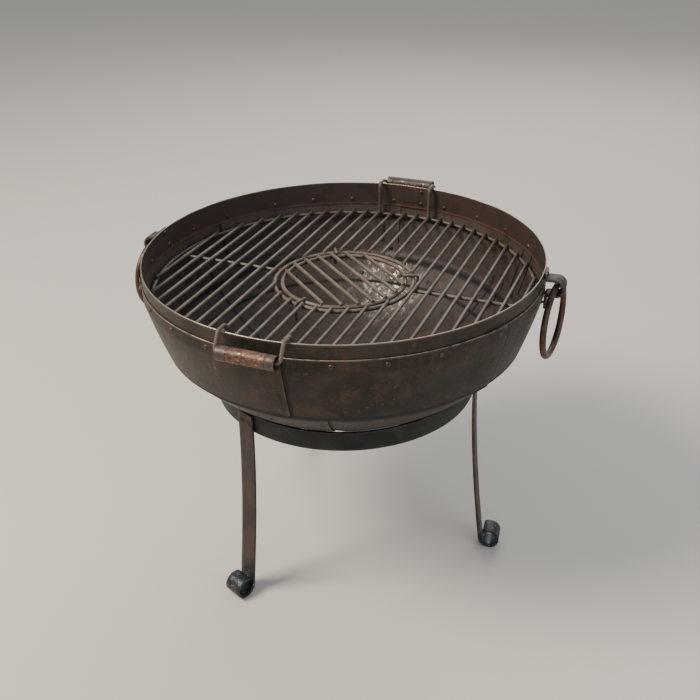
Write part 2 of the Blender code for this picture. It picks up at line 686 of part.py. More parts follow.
def handle_tube(name, out, axis_height):
    """Tube turned about the rod's straight run; its object's origin is on that axis."""
    section = bpy.data.meshes.new(name)
    outer, inner, half = TUBE_RADIUS, TUBE_RADIUS - TUBE_WALL, TUBE_LENGTH / 2
    corners = [(outer, half), (outer, -half), (inner, -half), (inner, half)]
    section.from_pydata([(r, 0.0, z) for r, z in corners], [(0, 1), (1, 2), (2, 3), (3, 0)], [])
    made = add(name, section, TUBE_STEEL)
    tube_turn = made.modifiers.new("turn", "SCREW")
    tube_turn.steps = TUBE_SIDES
    tube_turn.render_steps = TUBE_SIDES
    tube_turn.merge_threshold = 0.00005
    tube_turn.use_merge_vertices = True
    made.matrix_world = frame_at(out * axis_distance + UP * axis_height, UP, out, UP.cross(out))
    return made


for name, out in (("front", -along_bars), ("back", along_bars)):
    handle_rod("handle_rod_" + name, out, RIM_HEIGHT - TUBE_DEPTHS[name])
    handle_tube("handle_tube_" + name, out, RIM_HEIGHT - TUBE_DEPTHS[name])

# ---------------------------------------------------------------- lifting rings and their loops
loop_rivets = sheet_pattern("loop_rivet")
pivot_radius = RIM_RADIUS + LOOP_OUT
pivot_height = RIM_HEIGHT - LOOP_DEPTH
half_strap = LOOP_THICKNESS / 2
band_face = RIM_RADIUS + GAP + half_strap
panel_face = PANEL_TOP_RADIUS + GAP + half_strap
loop_reach = LOOP_ROOM + half_strap
flange_top = pivot_height + loop_reach + LOOP_TOP_FLANGE
flange_foot = pivot_height - loop_reach - LOOP_LOWER_FLANGE
loop_path = [(band_face, flange_top), (band_face, pivot_height + loop_reach + half_strap)]
loop_path.append((band_face + half_strap, pivot_height + loop_reach))
for i in range(9):
    angle = radians(90 - i * 22.5)
    loop_path.append((pivot_radius + loop_reach * cos(angle), pivot_height + loop_reach * sin(angle)))
loop_path.append((panel_face + half_strap, pivot_height - loop_reach))
loop_path.append((panel_face, pivot_height - loop_reach - half_strap))
loop_path.append((panel_face, flange_foot))

loops = []
for i, azimuth in enumerate(LOOP_AZIMUTHS):
    loops.append(bent_bar("ring_loop_%d" % (i + 1), loop_path, LOOP_THICKNESS, LOOP_WIDTH, azimuth, STAND_BAR))
    foot_rivet = flange_foot + LOOP_RIVET_INSET
    panel_back = on_panel(RIM_HEIGHT - foot_rivet + RIVET_HEAD_RADIUS)[0] * FLAT_FACTOR - SHEET
    band_back = RIM_RADIUS * FLAT_FACTOR - SHEET
    for outside, height, back in ((band_face + half_strap, flange_top - LOOP_RIVET_INSET, band_back),
                                  (panel_face + half_strap, foot_rivet, panel_back)):
        loop_rivets.place(radial(azimuth) * outside + UP * height, -radial(azimuth), outside - back)
loop_holes = loop_rivets.make_cutter()
for piece in loops + panels + [band]:
    cut(piece, loop_holes)
loop_rivets.make_rivets(RIVET_IRON)

for i, azimuth in enumerate(LOOP_AZIMUTHS):
    ring_points = []
    for step in range(LIFT_RING_FACETS):
        angle = 2 * pi * step / LIFT_RING_FACETS
        ring_points.append((0.0, LIFT_RING_RADIUS * sin(angle), LIFT_RING_RADIUS * (cos(angle) - 1)))
    lift_ring = rod("lift_ring_%d" % (i + 1), ring_points, LIFT_RING_ROD, FORGED_RING, closed=True,
                    resolution=2)
    pivot = radial(azimuth) * pivot_radius + UP * pivot_height
    skewed = azimuth - LIFT_RING_SKEW
    lift_ring.matrix_world = frame_at(pivot, radial(skewed), tangent(skewed), UP)
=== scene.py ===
"""Riveted iron fire bowl on a scroll-foot stand, with its cooking grate and lifting rings.

Metres, +Z up.  The bowl's axis is the Z axis.  An azimuth is an angle about it, in degrees from
-Y (the front) towards +X.  Depths are measured down from the rim.
"""
from math import asin, atan2, cos, degrees, pi, radians, sin, sqrt, tan

import bmesh
import bpy
from mathutils import Matrix, Vector


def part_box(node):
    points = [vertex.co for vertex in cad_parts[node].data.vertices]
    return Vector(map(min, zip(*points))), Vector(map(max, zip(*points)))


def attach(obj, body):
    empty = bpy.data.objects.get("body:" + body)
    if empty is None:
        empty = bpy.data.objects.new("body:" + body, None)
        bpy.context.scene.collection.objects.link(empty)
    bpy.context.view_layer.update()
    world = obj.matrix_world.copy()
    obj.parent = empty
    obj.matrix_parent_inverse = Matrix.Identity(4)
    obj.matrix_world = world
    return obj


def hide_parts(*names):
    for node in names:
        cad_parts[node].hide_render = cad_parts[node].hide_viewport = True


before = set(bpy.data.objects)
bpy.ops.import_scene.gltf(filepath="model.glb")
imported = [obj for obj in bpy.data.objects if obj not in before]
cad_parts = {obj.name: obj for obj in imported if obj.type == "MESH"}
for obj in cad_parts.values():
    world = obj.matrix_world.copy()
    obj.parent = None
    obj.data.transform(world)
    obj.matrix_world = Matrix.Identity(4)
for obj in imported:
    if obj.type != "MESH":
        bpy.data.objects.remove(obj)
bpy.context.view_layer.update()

# ---------------------------------------------------------------- floor, light and camera
# A pale matt floor and three soft lamps: a large one high on the left, a weaker one on the
# right and one behind that picks out the rim.  The camera stands in front and looks down.
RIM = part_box("rim_band")[1].z
UP = Vector((0, 0, 1))


def colour(hex_value):
    """Linear colour of an sRGB hex value."""
    parts = [int(hex_value[i:i + 2], 16) / 255 for i in (1, 3, 5)]
    return tuple(p / 12.92 if p <= 0.04045 else ((p + 0.055) / 1.055) ** 2.4 for p in parts) + (1.0,)


def add_node(tree, kind, inputs, out=0, **settings):
    """Add a shader node with its settings, link or set its inputs, and give back an output."""
    made = tree.nodes.new(kind)
    for field, value in settings.items():
        setattr(made, field, value)
    for socket, value in inputs.items():
        if isinstance(value, bpy.types.NodeSocket):
            tree.links.new(value, made.inputs[socket])
        else:
            made.inputs[socket].default_value = value
    return made.outputs[out]


bpy.ops.object.select_all(action="DESELECT")
bpy.ops.mesh.primitive_plane_add(size=24)
floor = bpy.context.object
floor.name = "floor"
plaster = bpy.data.materials.new("pale_plaster")
plaster.use_nodes = True
plaster.node_tree.nodes["Principled BSDF"].inputs["Base Color"].default_value = colour("#cbc5ba")
plaster.node_tree.nodes["Principled BSDF"].inputs["Roughness"].default_value = 0.85
floor.data.materials.append(plaster)

LAMPS = (("key", (-2.1, -0.6, 2.9), 1.2, 150, "#fff4e6"),
         ("fill", (2.4, -2.2, 1.8), 2.4, 34, "#eef4ff"),
         ("back", (0.9, 2.6, 2.6), 2.6, 60, "#ffffff"))
LAMPS_AIM = Vector((0, 0, 0.35))
for name, place, size, power, tint in LAMPS:
    bpy.ops.object.light_add(type="AREA", location=place)
    lamp = bpy.context.object
    lamp.name = name
    lamp.data.size = size
    lamp.data.energy = power
    lamp.data.color = colour(tint)[:3]
    lamp.rotation_euler = (LAMPS_AIM - lamp.location).to_track_quat("-Z", "Y").to_euler()

world = bpy.data.worlds.new("studio")
world.use_nodes = True
world.node_tree.nodes["Background"].inputs["Color"].default_value = colour("#e9edf2")
world.node_tree.nodes["Background"].inputs["Strength"].default_value = 0.55
bpy.context.scene.world = world

CAMERA_IN_FRONT, CAMERA_OVER_RIM = 1.3106, 0.5550
CAMERA_LENS = 46.87
CAMERA_PAN, CAMERA_LOOKS_DOWN, CAMERA_ROLL = -0.32, 29.355, -1.1   # degrees
bpy.ops.object.camera_add(location=(0, -CAMERA_IN_FRONT, RIM + CAMERA_OVER_RIM))
camera = bpy.context.object
camera.data.lens = CAMERA_LENS
pan = Matrix.Rotation(radians(CAMERA_PAN), 4, "Z")
tilt = Matrix.Rotation(radians(90 - CAMERA_LOOKS_DOWN), 4, "X")
roll = Matrix.Rotation(radians(CAMERA_ROLL), 4, "Z")
camera.rotation_euler = (pan @ tilt @ roll).to_euler()
bpy.context.scene.camera = camera

# ---------------------------------------------------------------- stand ring
# A 32 x 5 mm flat bar rolled on edge into a ring and butt welded at the back.  The bowl sits
# loose on its inner top edge.  Blackened mild steel, gone slightly green-grey outdoors.
BAR = 0.005   # thickness of the flat bar of the ring and the legs
RING_LOW, RING_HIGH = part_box("stand_ring")[0].z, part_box("stand_ring")[1].z
RING_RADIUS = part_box("stand_ring")[1].x
ROUNDING = 0.0009   # of the bar's edges
RING_ROWS = 5       # of faces, from its lower to its upper edge


def modify(kind, **settings):
    """Give the active object a modifier and apply it."""
    made = bpy.context.object.modifiers.new(kind.title(), kind)
    for field, value in settings.items():
        setattr(made, field, value)
    bpy.ops.object.modifier_apply(modifier=made.name)


def worn_iron(name, deep, warm, patch, grain, roughness, metallic, pits):
    """Iron that has weathered: two tones in patches, a fine grain, and pits of a given depth.

    patch and grain are the widths of the patches and of the grain, in metres.  Real rust and mill
    scale have a grain under half a millimetre, too fine to show, so it is drawn 1 to 4 mm wide."""
    made = bpy.data.materials.new(name)
    made.use_nodes = True
    tree = made.node_tree
    shader = tree.nodes["Principled BSDF"]
    place = add_node(tree, "ShaderNodeTexCoord", {}, "Object")
    broad = add_node(tree, "ShaderNodeTexNoise", {"Vector": place, "Scale": 1 / patch, "Detail": 5.0,
                                                  "Roughness": 0.62, "Distortion": 0.4})
    fine = add_node(tree, "ShaderNodeTexNoise", {"Vector": place, "Scale": 1 / grain, "Detail": 6.0,
                                                 "Roughness": 0.7})
    share = add_node(tree, "ShaderNodeMapRange", {"Value": broad, "From Min": 0.38, "From Max": 0.66})
    tone = add_node(tree, "ShaderNodeMix", {0: share, 6: colour(deep), 7: colour(warm)}, 2, data_type="RGBA")
    shade = add_node(tree, "ShaderNodeMapRange", {"Value": fine, "From Min": 0.3, "From Max": 0.7,
                                                  "To Min": 0.72, "To Max": 1.28})
    grainy = add_node(tree, "ShaderNodeMix", {0: 1.0, 6: tone, 7: shade}, 2, data_type="RGBA",
                      blend_type="MULTIPLY")
    tree.links.new(grainy, shader.inputs["Base Color"])
    gloss = add_node(tree, "ShaderNodeMapRange", {"Value": fine, "From Min": 0.3, "From Max": 0.7,
                                                  "To Min": roughness - 0.10, "To Max": roughness + 0.12})
    tree.links.new(gloss, shader.inputs["Roughness"])
    sheen = add_node(tree, "ShaderNodeMapRange", {"Value": broad, "From Min": 0.35, "From Max": 0.7,
                                                  "To Min": metallic + 0.08, "To Max": metallic - 0.12})
    tree.links.new(sheen, shader.inputs["Metallic"])
    relief = add_node(tree, "ShaderNodeBump", {"Height": fine, "Distance": pits, "Strength": 0.6}, "Normal")
    tree.links.new(relief, shader.inputs["Normal"])
    return made


def mask(material, width, low, high, stretch=(1, 1, 1)):
    """A patchy share from 0 to 1, its patches of a real width in metres, stretched along an axis."""
    tree = material.node_tree
    place = add_node(tree, "ShaderNodeTexCoord", {}, "Object")
    laid = add_node(tree, "ShaderNodeMapping", {"Vector": place, "Scale": stretch})
    cloud = add_node(tree, "ShaderNodeTexNoise", {"Vector": laid, "Scale": 1 / width, "Detail": 6.0,
                                                  "Roughness": 0.65, "Distortion": 0.3})
    return add_node(tree, "ShaderNodeMapRange", {"Value": cloud, "From Min": low, "From Max": high})


def edges(material, low=0.52, high=0.60):
    """The share of a surface that lies on rubbed edges."""
    tree = material.node_tree
    sharp = add_node(tree, "ShaderNodeNewGeometry", {}, "Pointiness")
    return add_node(tree, "ShaderNodeMapRange", {"Value": sharp, "From Min": low, "From Max": high})


def lay_over(material, shares, hex_value, roughness, metallic):
    """Cover the finish so far with another one, as far as its shares say together."""
    tree = material.node_tree
    shader = tree.nodes["Principled BSDF"]
    share = shares[0]
    for other in shares[1:]:
        share = add_node(tree, "ShaderNodeMath", {0: share, 1: other}, operation="MULTIPLY")
    under = shader.inputs["Base Color"].links[0].from_socket
    mixed = add_node(tree, "ShaderNodeMix", {0: share, 6: under, 7: colour(hex_value)}, 2, data_type="RGBA")
    tree.links.new(mixed, shader.inputs["Base Color"])
    for socket, value in (("Roughness", roughness), ("Metallic", metallic)):
        under = shader.inputs[socket].links[0].from_socket
        mixed = add_node(tree, "ShaderNodeMix", {0: share, 2: under, 3: value}, data_type="FLOAT")
        tree.links.new(mixed, shader.inputs[socket])


def fit(name, body, slot, material, *nodes, smooth=38):
    """Name the active object, finish it, and fix it to the frame in place of CAD nodes."""
    piece = bpy.context.object
    piece.name = name
    piece.data.name = name
    piece.data.materials.clear()
    piece.data.materials.append(material)
    bpy.ops.object.shade_smooth_by_angle(angle=radians(smooth))
    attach(piece, body)
    if nodes:
        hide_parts(*nodes)


# unevenness of hand work, for the Displace modifier: waves about 70 mm long
uneven = bpy.data.textures.new("uneven", "CLOUDS")
uneven.noise_scale = 0.07

# Hot-rolled mild steel, blackened with oil: a dull green-black, with brown spots of rust and a
# grey shine where its edges are rubbed.
blackened = worn_iron("blackened_mild_steel", "#1a1e1c", "#272926", 0.045, 0.0030, 0.55, 0.40, 0.0005)
lay_over(blackened, [mask(blackened, 0.018, 0.58, 0.70)], "#3d2f27", 0.75, 0.1)
lay_over(blackened, [edges(blackened), mask(blackened, 0.012, 0.35, 0.6)], "#6d6a63", 0.4, 0.8)

bpy.ops.object.select_all(action="DESELECT")
bpy.ops.mesh.primitive_cylinder_add(vertices=192, radius=RING_RADIUS, depth=RING_HIGH - RING_LOW,
                                    end_fill_type="NOTHING", location=(0, 0, (RING_LOW + RING_HIGH) / 2))
bpy.ops.object.transform_apply(location=True)
bpy.ops.object.mode_set(mode="EDIT")
for row in range(1, RING_ROWS):
    height = RING_LOW + row * (RING_HIGH - RING_LOW) / RING_ROWS
    bpy.ops.mesh.select_all(action="SELECT")
    bpy.ops.mesh.bisect(plane_co=(0, 0, height), plane_no=UP)
bpy.ops.object.mode_set(mode="OBJECT")
modify("DISPLACE", texture=uneven, texture_coords="LOCAL", strength=0.0006, mid_level=1.0)
modify("SOLIDIFY", thickness=BAR - 0.0002, offset=-1)
modify("BEVEL", width=ROUNDING, segments=2, limit_method="ANGLE")
fit("rolled_stand_ring", "stand", "stand_bar", blackened, "stand_ring")

# ---------------------------------------------------------------- legs
# Three 32 x 5 mm flat bars, riveted outside the ring.  Each flares a little and ends in a foot
# scrolled outwards and up, forged hot.  Reddish oiled rust, the feet rubbed to dark grey.
LEG_AZIMUTHS = (-45.5, 74.5, 194.5)
LEG_WIDTH = 0.032
LEG_LENGTH = 0.2905
LEG_LEAN = 7.5      # degrees by which a leg's foot leans out
LEG_POWER = 1.6     # how late the flare comes
LEG_STEPS = 24      # of its mesh, down to the scroll
LEG_STRIPS = 4      # of its mesh, across its width
SCROLL_RADIUS = 0.016
SCROLL_SWEEP = 300
GAP = 0.0003        # left between two pieces that touch


def radial(azimuth):
    """Outwards at an azimuth."""
    return Vector((sin(radians(azimuth)), -cos(radians(azimuth)), 0))


def tangent(azimuth):
    """Along a hoop at an azimuth, towards a greater one."""
    return Vector((cos(radians(azimuth)), sin(radians(azimuth)), 0))


def select_where(test):
    """In edit mode, select only the points that pass a test on their place."""
    bpy.ops.mesh.select_all(action="DESELECT")
    mesh = bmesh.from_edit_mesh(bpy.context.object.data)
    for vert in mesh.verts:
        vert.select_set(test(vert.co))
    mesh.select_flush(True)
    bmesh.update_edit_mesh(bpy.context.object.data)


def start_at(place):
    """One point to draw from, in edit mode, on an object that sits at the origin."""
    bpy.ops.object.select_all(action="DESELECT")
    bpy.ops.mesh.primitive_plane_add(size=0.01)
    bpy.ops.object.mode_set(mode="EDIT")
    bpy.ops.mesh.merge(type="CENTER")
    bpy.ops.transform.translate(value=place)


def draw_on(points):
    """Extrude the selected point to each of the next points."""
    for before, after in zip(points, points[1:]):
        bpy.ops.mesh.extrude_vertices_move(TRANSFORM_OT_translate={"value": after - before})


def swing(angle, centre, axis, steps):
    """Spin what is selected by the right-hand rule; the operator itself turns the other way."""
    bpy.ops.mesh.spin(steps=steps, angle=radians(angle), center=centre, axis=-Vector(axis))


def between(material, bare, full):
    """A share that runs from 0 to 1 between two heights."""
    tree = material.node_tree
    place = add_node(tree, "ShaderNodeTexCoord", {}, "Object")
    height = add_node(tree, "ShaderNodeSeparateXYZ", {"Vector": place}, "Z")
    return add_node(tree, "ShaderNodeMapRange", {"Value": height, "From Min": bare, "From Max": full})


def face_away(centre):
    """In edit mode, make an open sheet's faces point away from a point."""
    bpy.ops.mesh.select_all(action="SELECT")
    bpy.ops.mesh.normals_make_consistent(inside=False)
    mesh = bmesh.from_edit_mesh(bpy.context.object.data)
    away = sum((face.normal.dot(face.calc_center_median() - Vector(centre)) > 0) - 0.5 for face in mesh.faces)
    if away < 0:
        bpy.ops.mesh.flip_normals()


# Mild steel flat bar, forged at the foot and oiled over its rust: a red-brown bar with rubbed
# edges, and a blue-grey foot, scuffed bright by the ground.
leg_iron = worn_iron("oiled_rusty_flat_bar", "#2f2827", "#41312c", 0.05, 0.0026, 0.52, 0.35, 0.0006)
lay_over(leg_iron, [mask(leg_iron, 0.03, 0.56, 0.68, (1, 1, 0.35))], "#4d3429", 0.7, 0.1)
lay_over(leg_iron, [edges(leg_iron), mask(leg_iron, 0.010, 0.38, 0.62)], "#77695f", 0.42, 0.7)
lay_over(leg_iron, [between(leg_iron, 0.075, 0.030), mask(leg_iron, 0.02, 0.30, 0.50)], "#2d3638", 0.38, 0.6)
lay_over(leg_iron, [between(leg_iron, 0.050, 0.025), mask(leg_iron, 0.007, 0.56, 0.64)], "#7f8a8b", 0.35, 0.8)

lean = radians(LEG_LEAN)
leg_top = RING_RADIUS + GAP + BAR / 2
leg_flare = tan(lean) * LEG_LENGTH / LEG_POWER
for number, azimuth in enumerate(LEG_AZIMUTHS):
    out, along = radial(azimuth), tangent(azimuth)
    side = -along * LEG_WIDTH / 2
    path = [out * leg_top + UP * RING_HIGH + side]
    for step in range(LEG_STEPS + 1):
        share = step / LEG_STEPS
        place = out * (leg_top + leg_flare * share ** LEG_POWER) + UP * (RING_LOW - share * LEG_LENGTH)
        path.append(place + side)
    start_at(path[0])
    draw_on(path)
    scroll_centre = path[-1] + (out * cos(lean) + UP * sin(lean)) * SCROLL_RADIUS
    swing(-SCROLL_SWEEP, scroll_centre, along, 40)
    for strip in range(LEG_STRIPS):
        bpy.ops.mesh.select_all(action="SELECT")
        if strip:
            ahead = [along.dot(vert.co) for vert in bmesh.from_edit_mesh(bpy.context.object.data).verts]
            select_where(lambda place: along.dot(place) > max(ahead) - 0.0005)
        bpy.ops.mesh.extrude_region_move(TRANSFORM_OT_translate={"value": along * LEG_WIDTH / LEG_STRIPS})
    face_away(out * 10)
    bpy.ops.mesh.flip_normals()
    bpy.ops.object.mode_set(mode="OBJECT")
    modify("SOLIDIFY", thickness=BAR, offset=0)
    modify("BEVEL", width=ROUNDING, segments=2, limit_method="ANGLE", angle_limit=radians(50))
    modify("DISPLACE", texture=uneven, texture_coords="LOCAL", strength=0.0006, mid_level=1.0)
    fit("scroll_leg_%d" % (number + 1), "stand", "stand_bar", leg_iron, "leg_%d" % (number + 1))

# ---------------------------------------------------------------- rivets of the stand
# Two mild-steel rivets with 10 mm heads, side by side at the top of each leg, closed with a
# hammer to low domes.
LEG_RIVETS_APART = 0.0180
LEG_RIVET = (0.0048, 0.0023, 0.0028)   # radius of the head, its height, radius of the shank
DOME_STEPS = 5


def rivet(sizes, outer, inward, grip, twist):
    """A rivet turned about its own axis, its outer head seated at outer and its other head grip away."""
    head_radius, head_height, shank_radius = sizes
    angles = [pi / 2 * step / DOME_STEPS for step in range(DOME_STEPS + 1)]
    outline = [(head_radius * sin(angle), -head_height * cos(angle)) for angle in angles]
    outline.append((shank_radius, 0.0))
    outline += [(across, grip - along) for across, along in reversed(outline)]
    start_at((outline[0][0], 0, outline[0][1]))
    draw_on([Vector((across, 0, along)) for across, along in outline])
    bpy.ops.mesh.select_all(action="SELECT")
    swing(360, (0, 0, 0), (0, 0, 1), 14)
    bpy.ops.mesh.select_all(action="SELECT")
    bpy.ops.mesh.remove_doubles(threshold=0.00002)
    bpy.ops.mesh.normals_make_consistent(inside=False)
    bpy.ops.object.mode_set(mode="OBJECT")
    turn = inward.normalized().to_track_quat("Z", "Y").to_matrix().to_4x4() @ Matrix.Rotation(twist, 4, "Z")
    bpy.context.object.data.transform(Matrix.Translation(outer) @ turn)


for number, azimuth in enumerate(LEG_AZIMUTHS):
    for turn, side in enumerate((-0.5, 0.5)):
        seat = radial(azimuth) * (leg_top + BAR / 2) + UP * (RING_LOW + RING_HIGH) / 2
        seat += tangent(azimuth) * side * LEG_RIVETS_APART
        count = number * 2 + turn + 1
        rivet(LEG_RIVET, seat, -radial(azimuth), 2 * BAR + 2 * GAP, count)
        fit("hammered_leg_rivet_%d" % count, "stand", "stand_bar", leg_iron, "leg_rivet_%d" % count)

# ---------------------------------------------------------------- rim band
# A 41 mm strap of 1.6 mm sheet, bent to a hoop with its ends lapped and riveted at the back.
# Its lower half lies inside the wall panels.  Oiled iron, browned by heat, bright along the top.
SHEET = 0.0016
SHEET_STEP = SHEET + GAP
RIM_RADIUS = 0.310
BAND_HEIGHT = 0.041
BAND_SHOWING = 0.0215
BAND_LAP_AZ = 149.5
BAND_LAP = 5        # degrees
BAND_ROWS = 8
COLUMN = 1.25       # degrees between two columns of a sheet's mesh
LAP_COLUMNS = 4     # a lapped end is stepped over this many columns
SLACK = 0.2         # degrees, less than a column, so that a column at the very start counts
ABOVE_BOWL = (0, 0, RIM + 0.1)
PAINTED_SHADE = "#0f0c0b"   # painted shade, put where sheets overlap and under their edges
BASE_HOLE_RADIUS = 0.124   # of the hole between the lower plates, which the base closes


def azimuth_past(place, first):
    """How many degrees a place lies past a first azimuth, or just before it."""
    return (degrees(atan2(place.x, -place.y)) - first + SLACK) % 360


def hammered_sheet():
    """Give the active surface the waves of hand hammering, and the thickness and edges of sheet."""
    modify("DISPLACE", texture=uneven, texture_coords="LOCAL", strength=0.0011)
    modify("DISPLACE", texture=uneven, texture_coords="LOCAL", strength=0.0010, direction="Z", mid_level=1.0)
    modify("SOLIDIFY", thickness=SHEET, offset=-1)
    modify("BEVEL", width=0.0004, segments=1, limit_method="ANGLE", angle_limit=radians(50))


def spun_sheet(profile, first, sweep, lap, lift):
    """A strip of bowl sheet: its outside profile spun from first, one end stepped over its neighbour.

    profile is a list of (radius, depth).  A positive lift steps the far end out, and a negative
    one steps the near end in."""
    line = [radial(first) * radius + UP * (RIM - depth) for radius, depth in profile]
    start_at(line[0])
    draw_on(line)
    bpy.ops.mesh.select_all(action="SELECT")
    swing(sweep, (0, 0, 0), UP, round(sweep / COLUMN))
    face_away(ABOVE_BOWL)
    for step in range(LAP_COLUMNS):
        reach = lap + COLUMN * (step + 0.5)
        if lift > 0:
            select_where(lambda place: sweep - reach < azimuth_past(place, first) < sweep + 1)
        else:
            select_where(lambda place: azimuth_past(place, first) < reach)
        bpy.ops.transform.shrink_fatten(value=lift / LAP_COLUMNS)
    bpy.ops.object.mode_set(mode="OBJECT")
    hammered_sheet()


def oiled_sheet(name, deep, warm):
    """Hot-rolled mild steel sheet, hammered to shape, oiled and burnt in by fires.

    It is near black with a brown cast, streaked down its sides, and ash-grey inside."""
    made = worn_iron(name, deep, warm, 0.060, 0.0036, 0.48, 0.45, 0.0005)
    tree = made.node_tree

    # streaks of oil and rain down the outside, and brown blooms and spots of rust
    lay_over(made, [mask(made, 0.022, 0.52, 0.72, (1, 1, 0.16))], "#3a2f27", 0.55, 0.35)
    lay_over(made, [mask(made, 0.009, 0.55, 0.75, (1, 1, 0.10))], "#241e1b", 0.60, 0.35)
    lay_over(made, [mask(made, 0.034, 0.54, 0.70)], "#422f25", 0.66, 0.2)
    lay_over(made, [mask(made, 0.007, 0.62, 0.70)], "#5f4030", 0.8, 0.1)
    runs = [mask(made, 0.008, 0.63, 0.68, (1, 1, 0.30)), mask(made, 0.05, 0.54, 0.60)]
    lay_over(made, runs, "#6b4e3d", 0.6, 0.2)

    # the inside: the faces that look towards a point over the middle of the rim
    place = add_node(tree, "ShaderNodeTexCoord", {}, "Object")
    away = add_node(tree, "ShaderNodeVectorMath", {0: place, 1: (0, 0, RIM + 0.02)}, operation="SUBTRACT")
    normal = add_node(tree, "ShaderNodeNewGeometry", {}, "Normal")
    facing = add_node(tree, "ShaderNodeVectorMath", {0: normal, 1: away}, "Value", operation="DOT_PRODUCT")
    inside = add_node(tree, "ShaderNodeMath", {0: facing, 1: 0.0}, operation="LESS_THAN")
    lay_over(made, [inside, mask(made, 0.05, 0.20, 0.50)], "#42342e", 0.60, 0.3)

    # ash, rust and soot below the grate
    deeper = between(made, RIM - 0.035, RIM - 0.075)
    lay_over(made, [inside, deeper, mask(made, 0.05, 0.25, 0.55)], "#463e3b", 0.62, 0.25)
    lay_over(made, [inside, deeper, mask(made, 0.018, 0.52, 0.68, (0.5, 1, 1))], "#5a473d", 0.6, 0.25)
    lay_over(made, [inside, deeper, mask(made, 0.012, 0.58, 0.70)], "#2a2422", 0.7, 0.1)

    # the floor of the bowl, swept smooth and grey
    flat = add_node(tree, "ShaderNodeVectorMath", {0: place, 1: (1, 1, 0)}, operation="MULTIPLY")
    reach = add_node(tree, "ShaderNodeVectorMath", {0: flat}, "Value", operation="LENGTH")
    middle = add_node(tree, "ShaderNodeMapRange", {"Value": reach, "From Min": 0.17, "From Max": 0.05})
    lay_over(made, [inside, middle, mask(made, 0.030, 0.30, 0.50)], "#544d4a", 0.42, 0.4)

    # a bright, glossy patch at the back of the floor: a painted reflection
    patch = (0.070, 0.225, RIM - 0.172)
    off = add_node(tree, "ShaderNodeVectorMath", {0: place, 1: patch}, "Value", operation="DISTANCE")
    painted_reflection = add_node(tree, "ShaderNodeMapRange", {"Value": off, "From Min": 0.085, "From Max": 0.035})
    lay_over(made, [inside, painted_reflection, mask(made, 0.040, 0.35, 0.55)], "#5e5854", 0.36, 0.5)
    lay_over(made, [inside, painted_reflection, mask(made, 0.009, 0.52, 0.62, (1, 1, 0.4))], "#c2bdb6", 0.30, 0.6)

    # a tide line of soot, pits in the floor, and a crust round the edge of the base
    tide = [between(made, RIM - 0.1665, RIM - 0.1685), between(made, RIM - 0.1725, RIM - 0.1705)]
    lay_over(made, [inside, *tide, mask(made, 0.025, 0.30, 0.45)], "#120f0e", 0.8, 0.0)
    lay_over(made, [inside, middle, mask(made, 0.010, 0.56, 0.63)], "#2f2927", 0.5, 0.3)
    crust = add_node(tree, "ShaderNodeMapRange", {"Value": reach, "From Min": 0.1185, "From Max": 0.1225})
    stop = add_node(tree, "ShaderNodeMath", {0: reach, 1: BASE_HOLE_RADIUS + 0.0005}, operation="LESS_THAN")
    lay_over(made, [crust, stop, mask(made, 0.012, 0.25, 0.45)], "#191513", 0.8, 0.0)

    lay_over(made, [edges(made), mask(made, 0.011, 0.30, 0.55)], "#6e6055", 0.42, 0.75)
    return made


def paint_shade_past_laps(material, first, laps):
    """A painted shade line about 6 mm wide along the edge of each lap, on the sheet that lies under it."""
    tree = material.node_tree
    place = add_node(tree, "ShaderNodeTexCoord", {}, "Object")
    right = add_node(tree, "ShaderNodeSeparateXYZ", {"Vector": place}, "X")
    back = add_node(tree, "ShaderNodeSeparateXYZ", {"Vector": place}, "Y")
    front = add_node(tree, "ShaderNodeMath", {0: back, 1: -1.0}, operation="MULTIPLY")
    angle = add_node(tree, "ShaderNodeMath", {0: right, 1: front}, operation="ARCTAN2")
    offset = 1 - first * laps / 360 % 1
    laps_on = add_node(tree, "ShaderNodeMath", {0: angle, 1: laps / (2 * pi), 2: offset},
                       operation="MULTIPLY_ADD")
    past = add_node(tree, "ShaderNodeMath", {0: laps_on}, operation="FRACT")
    sheet_length = 2 * pi * RIM_RADIUS / laps
    near = add_node(tree, "ShaderNodeMapRange", {"Value": past, "From Min": 0.0075 / sheet_length,
                                                 "From Max": 0.0050 / sheet_length})
    lay_over(material, [near], PAINTED_SHADE, 0.75, 0.0)


# Mild steel strap, sheared and rolled: the sheet's finish, with a lip rubbed bright and a brown
# line of rust along its lower edge, inside the bowl.
band_iron = oiled_sheet("oiled_rim_strap", "#2c2722", "#362f28")
lip = [between(band_iron, RIM - 0.0022, RIM - 0.0012), mask(band_iron, 0.012, 0.25, 0.45)]
lay_over(band_iron, lip, "#8f857a", 0.40, 0.8)
rusty_edge = [between(band_iron, RIM - 0.0365, RIM - 0.0395), mask(band_iron, 0.014, 0.35, 0.55)]
lay_over(band_iron, rusty_edge, "#5d4030", 0.75, 0.1)

band_profile = [(RIM_RADIUS, BAND_HEIGHT * (1 - row / BAND_ROWS)) for row in range(BAND_ROWS + 1)]
spun_sheet(band_profile, BAND_LAP_AZ - 360, 360 + BAND_LAP, BAND_LAP, -SHEET_STEP)
fit("rim_strap", "bowl", "oiled_sheet", band_iron, "rim_band")

# ---------------------------------------------------------------- wall panels
# Six panels of 1.6 mm sheet, straight over the band and then drawn in.  Each one's right end
# steps out over the next and is riveted through it.
PANELS = 6
PANEL_DEPTH = 0.1305
PANEL_TUCK = 0.0265
PANEL_CURVE = 1.15   # 1 would draw the wall in as a cone
PANEL_ROWS = 24
PANEL_SEAM_AZ = -15.5
PANEL_LAP = 5.0
PANEL_RADIUS = RIM_RADIUS + SHEET_STEP
CREASE = 0.0005      # the wall sinks in by this much below the band, where nothing backs it


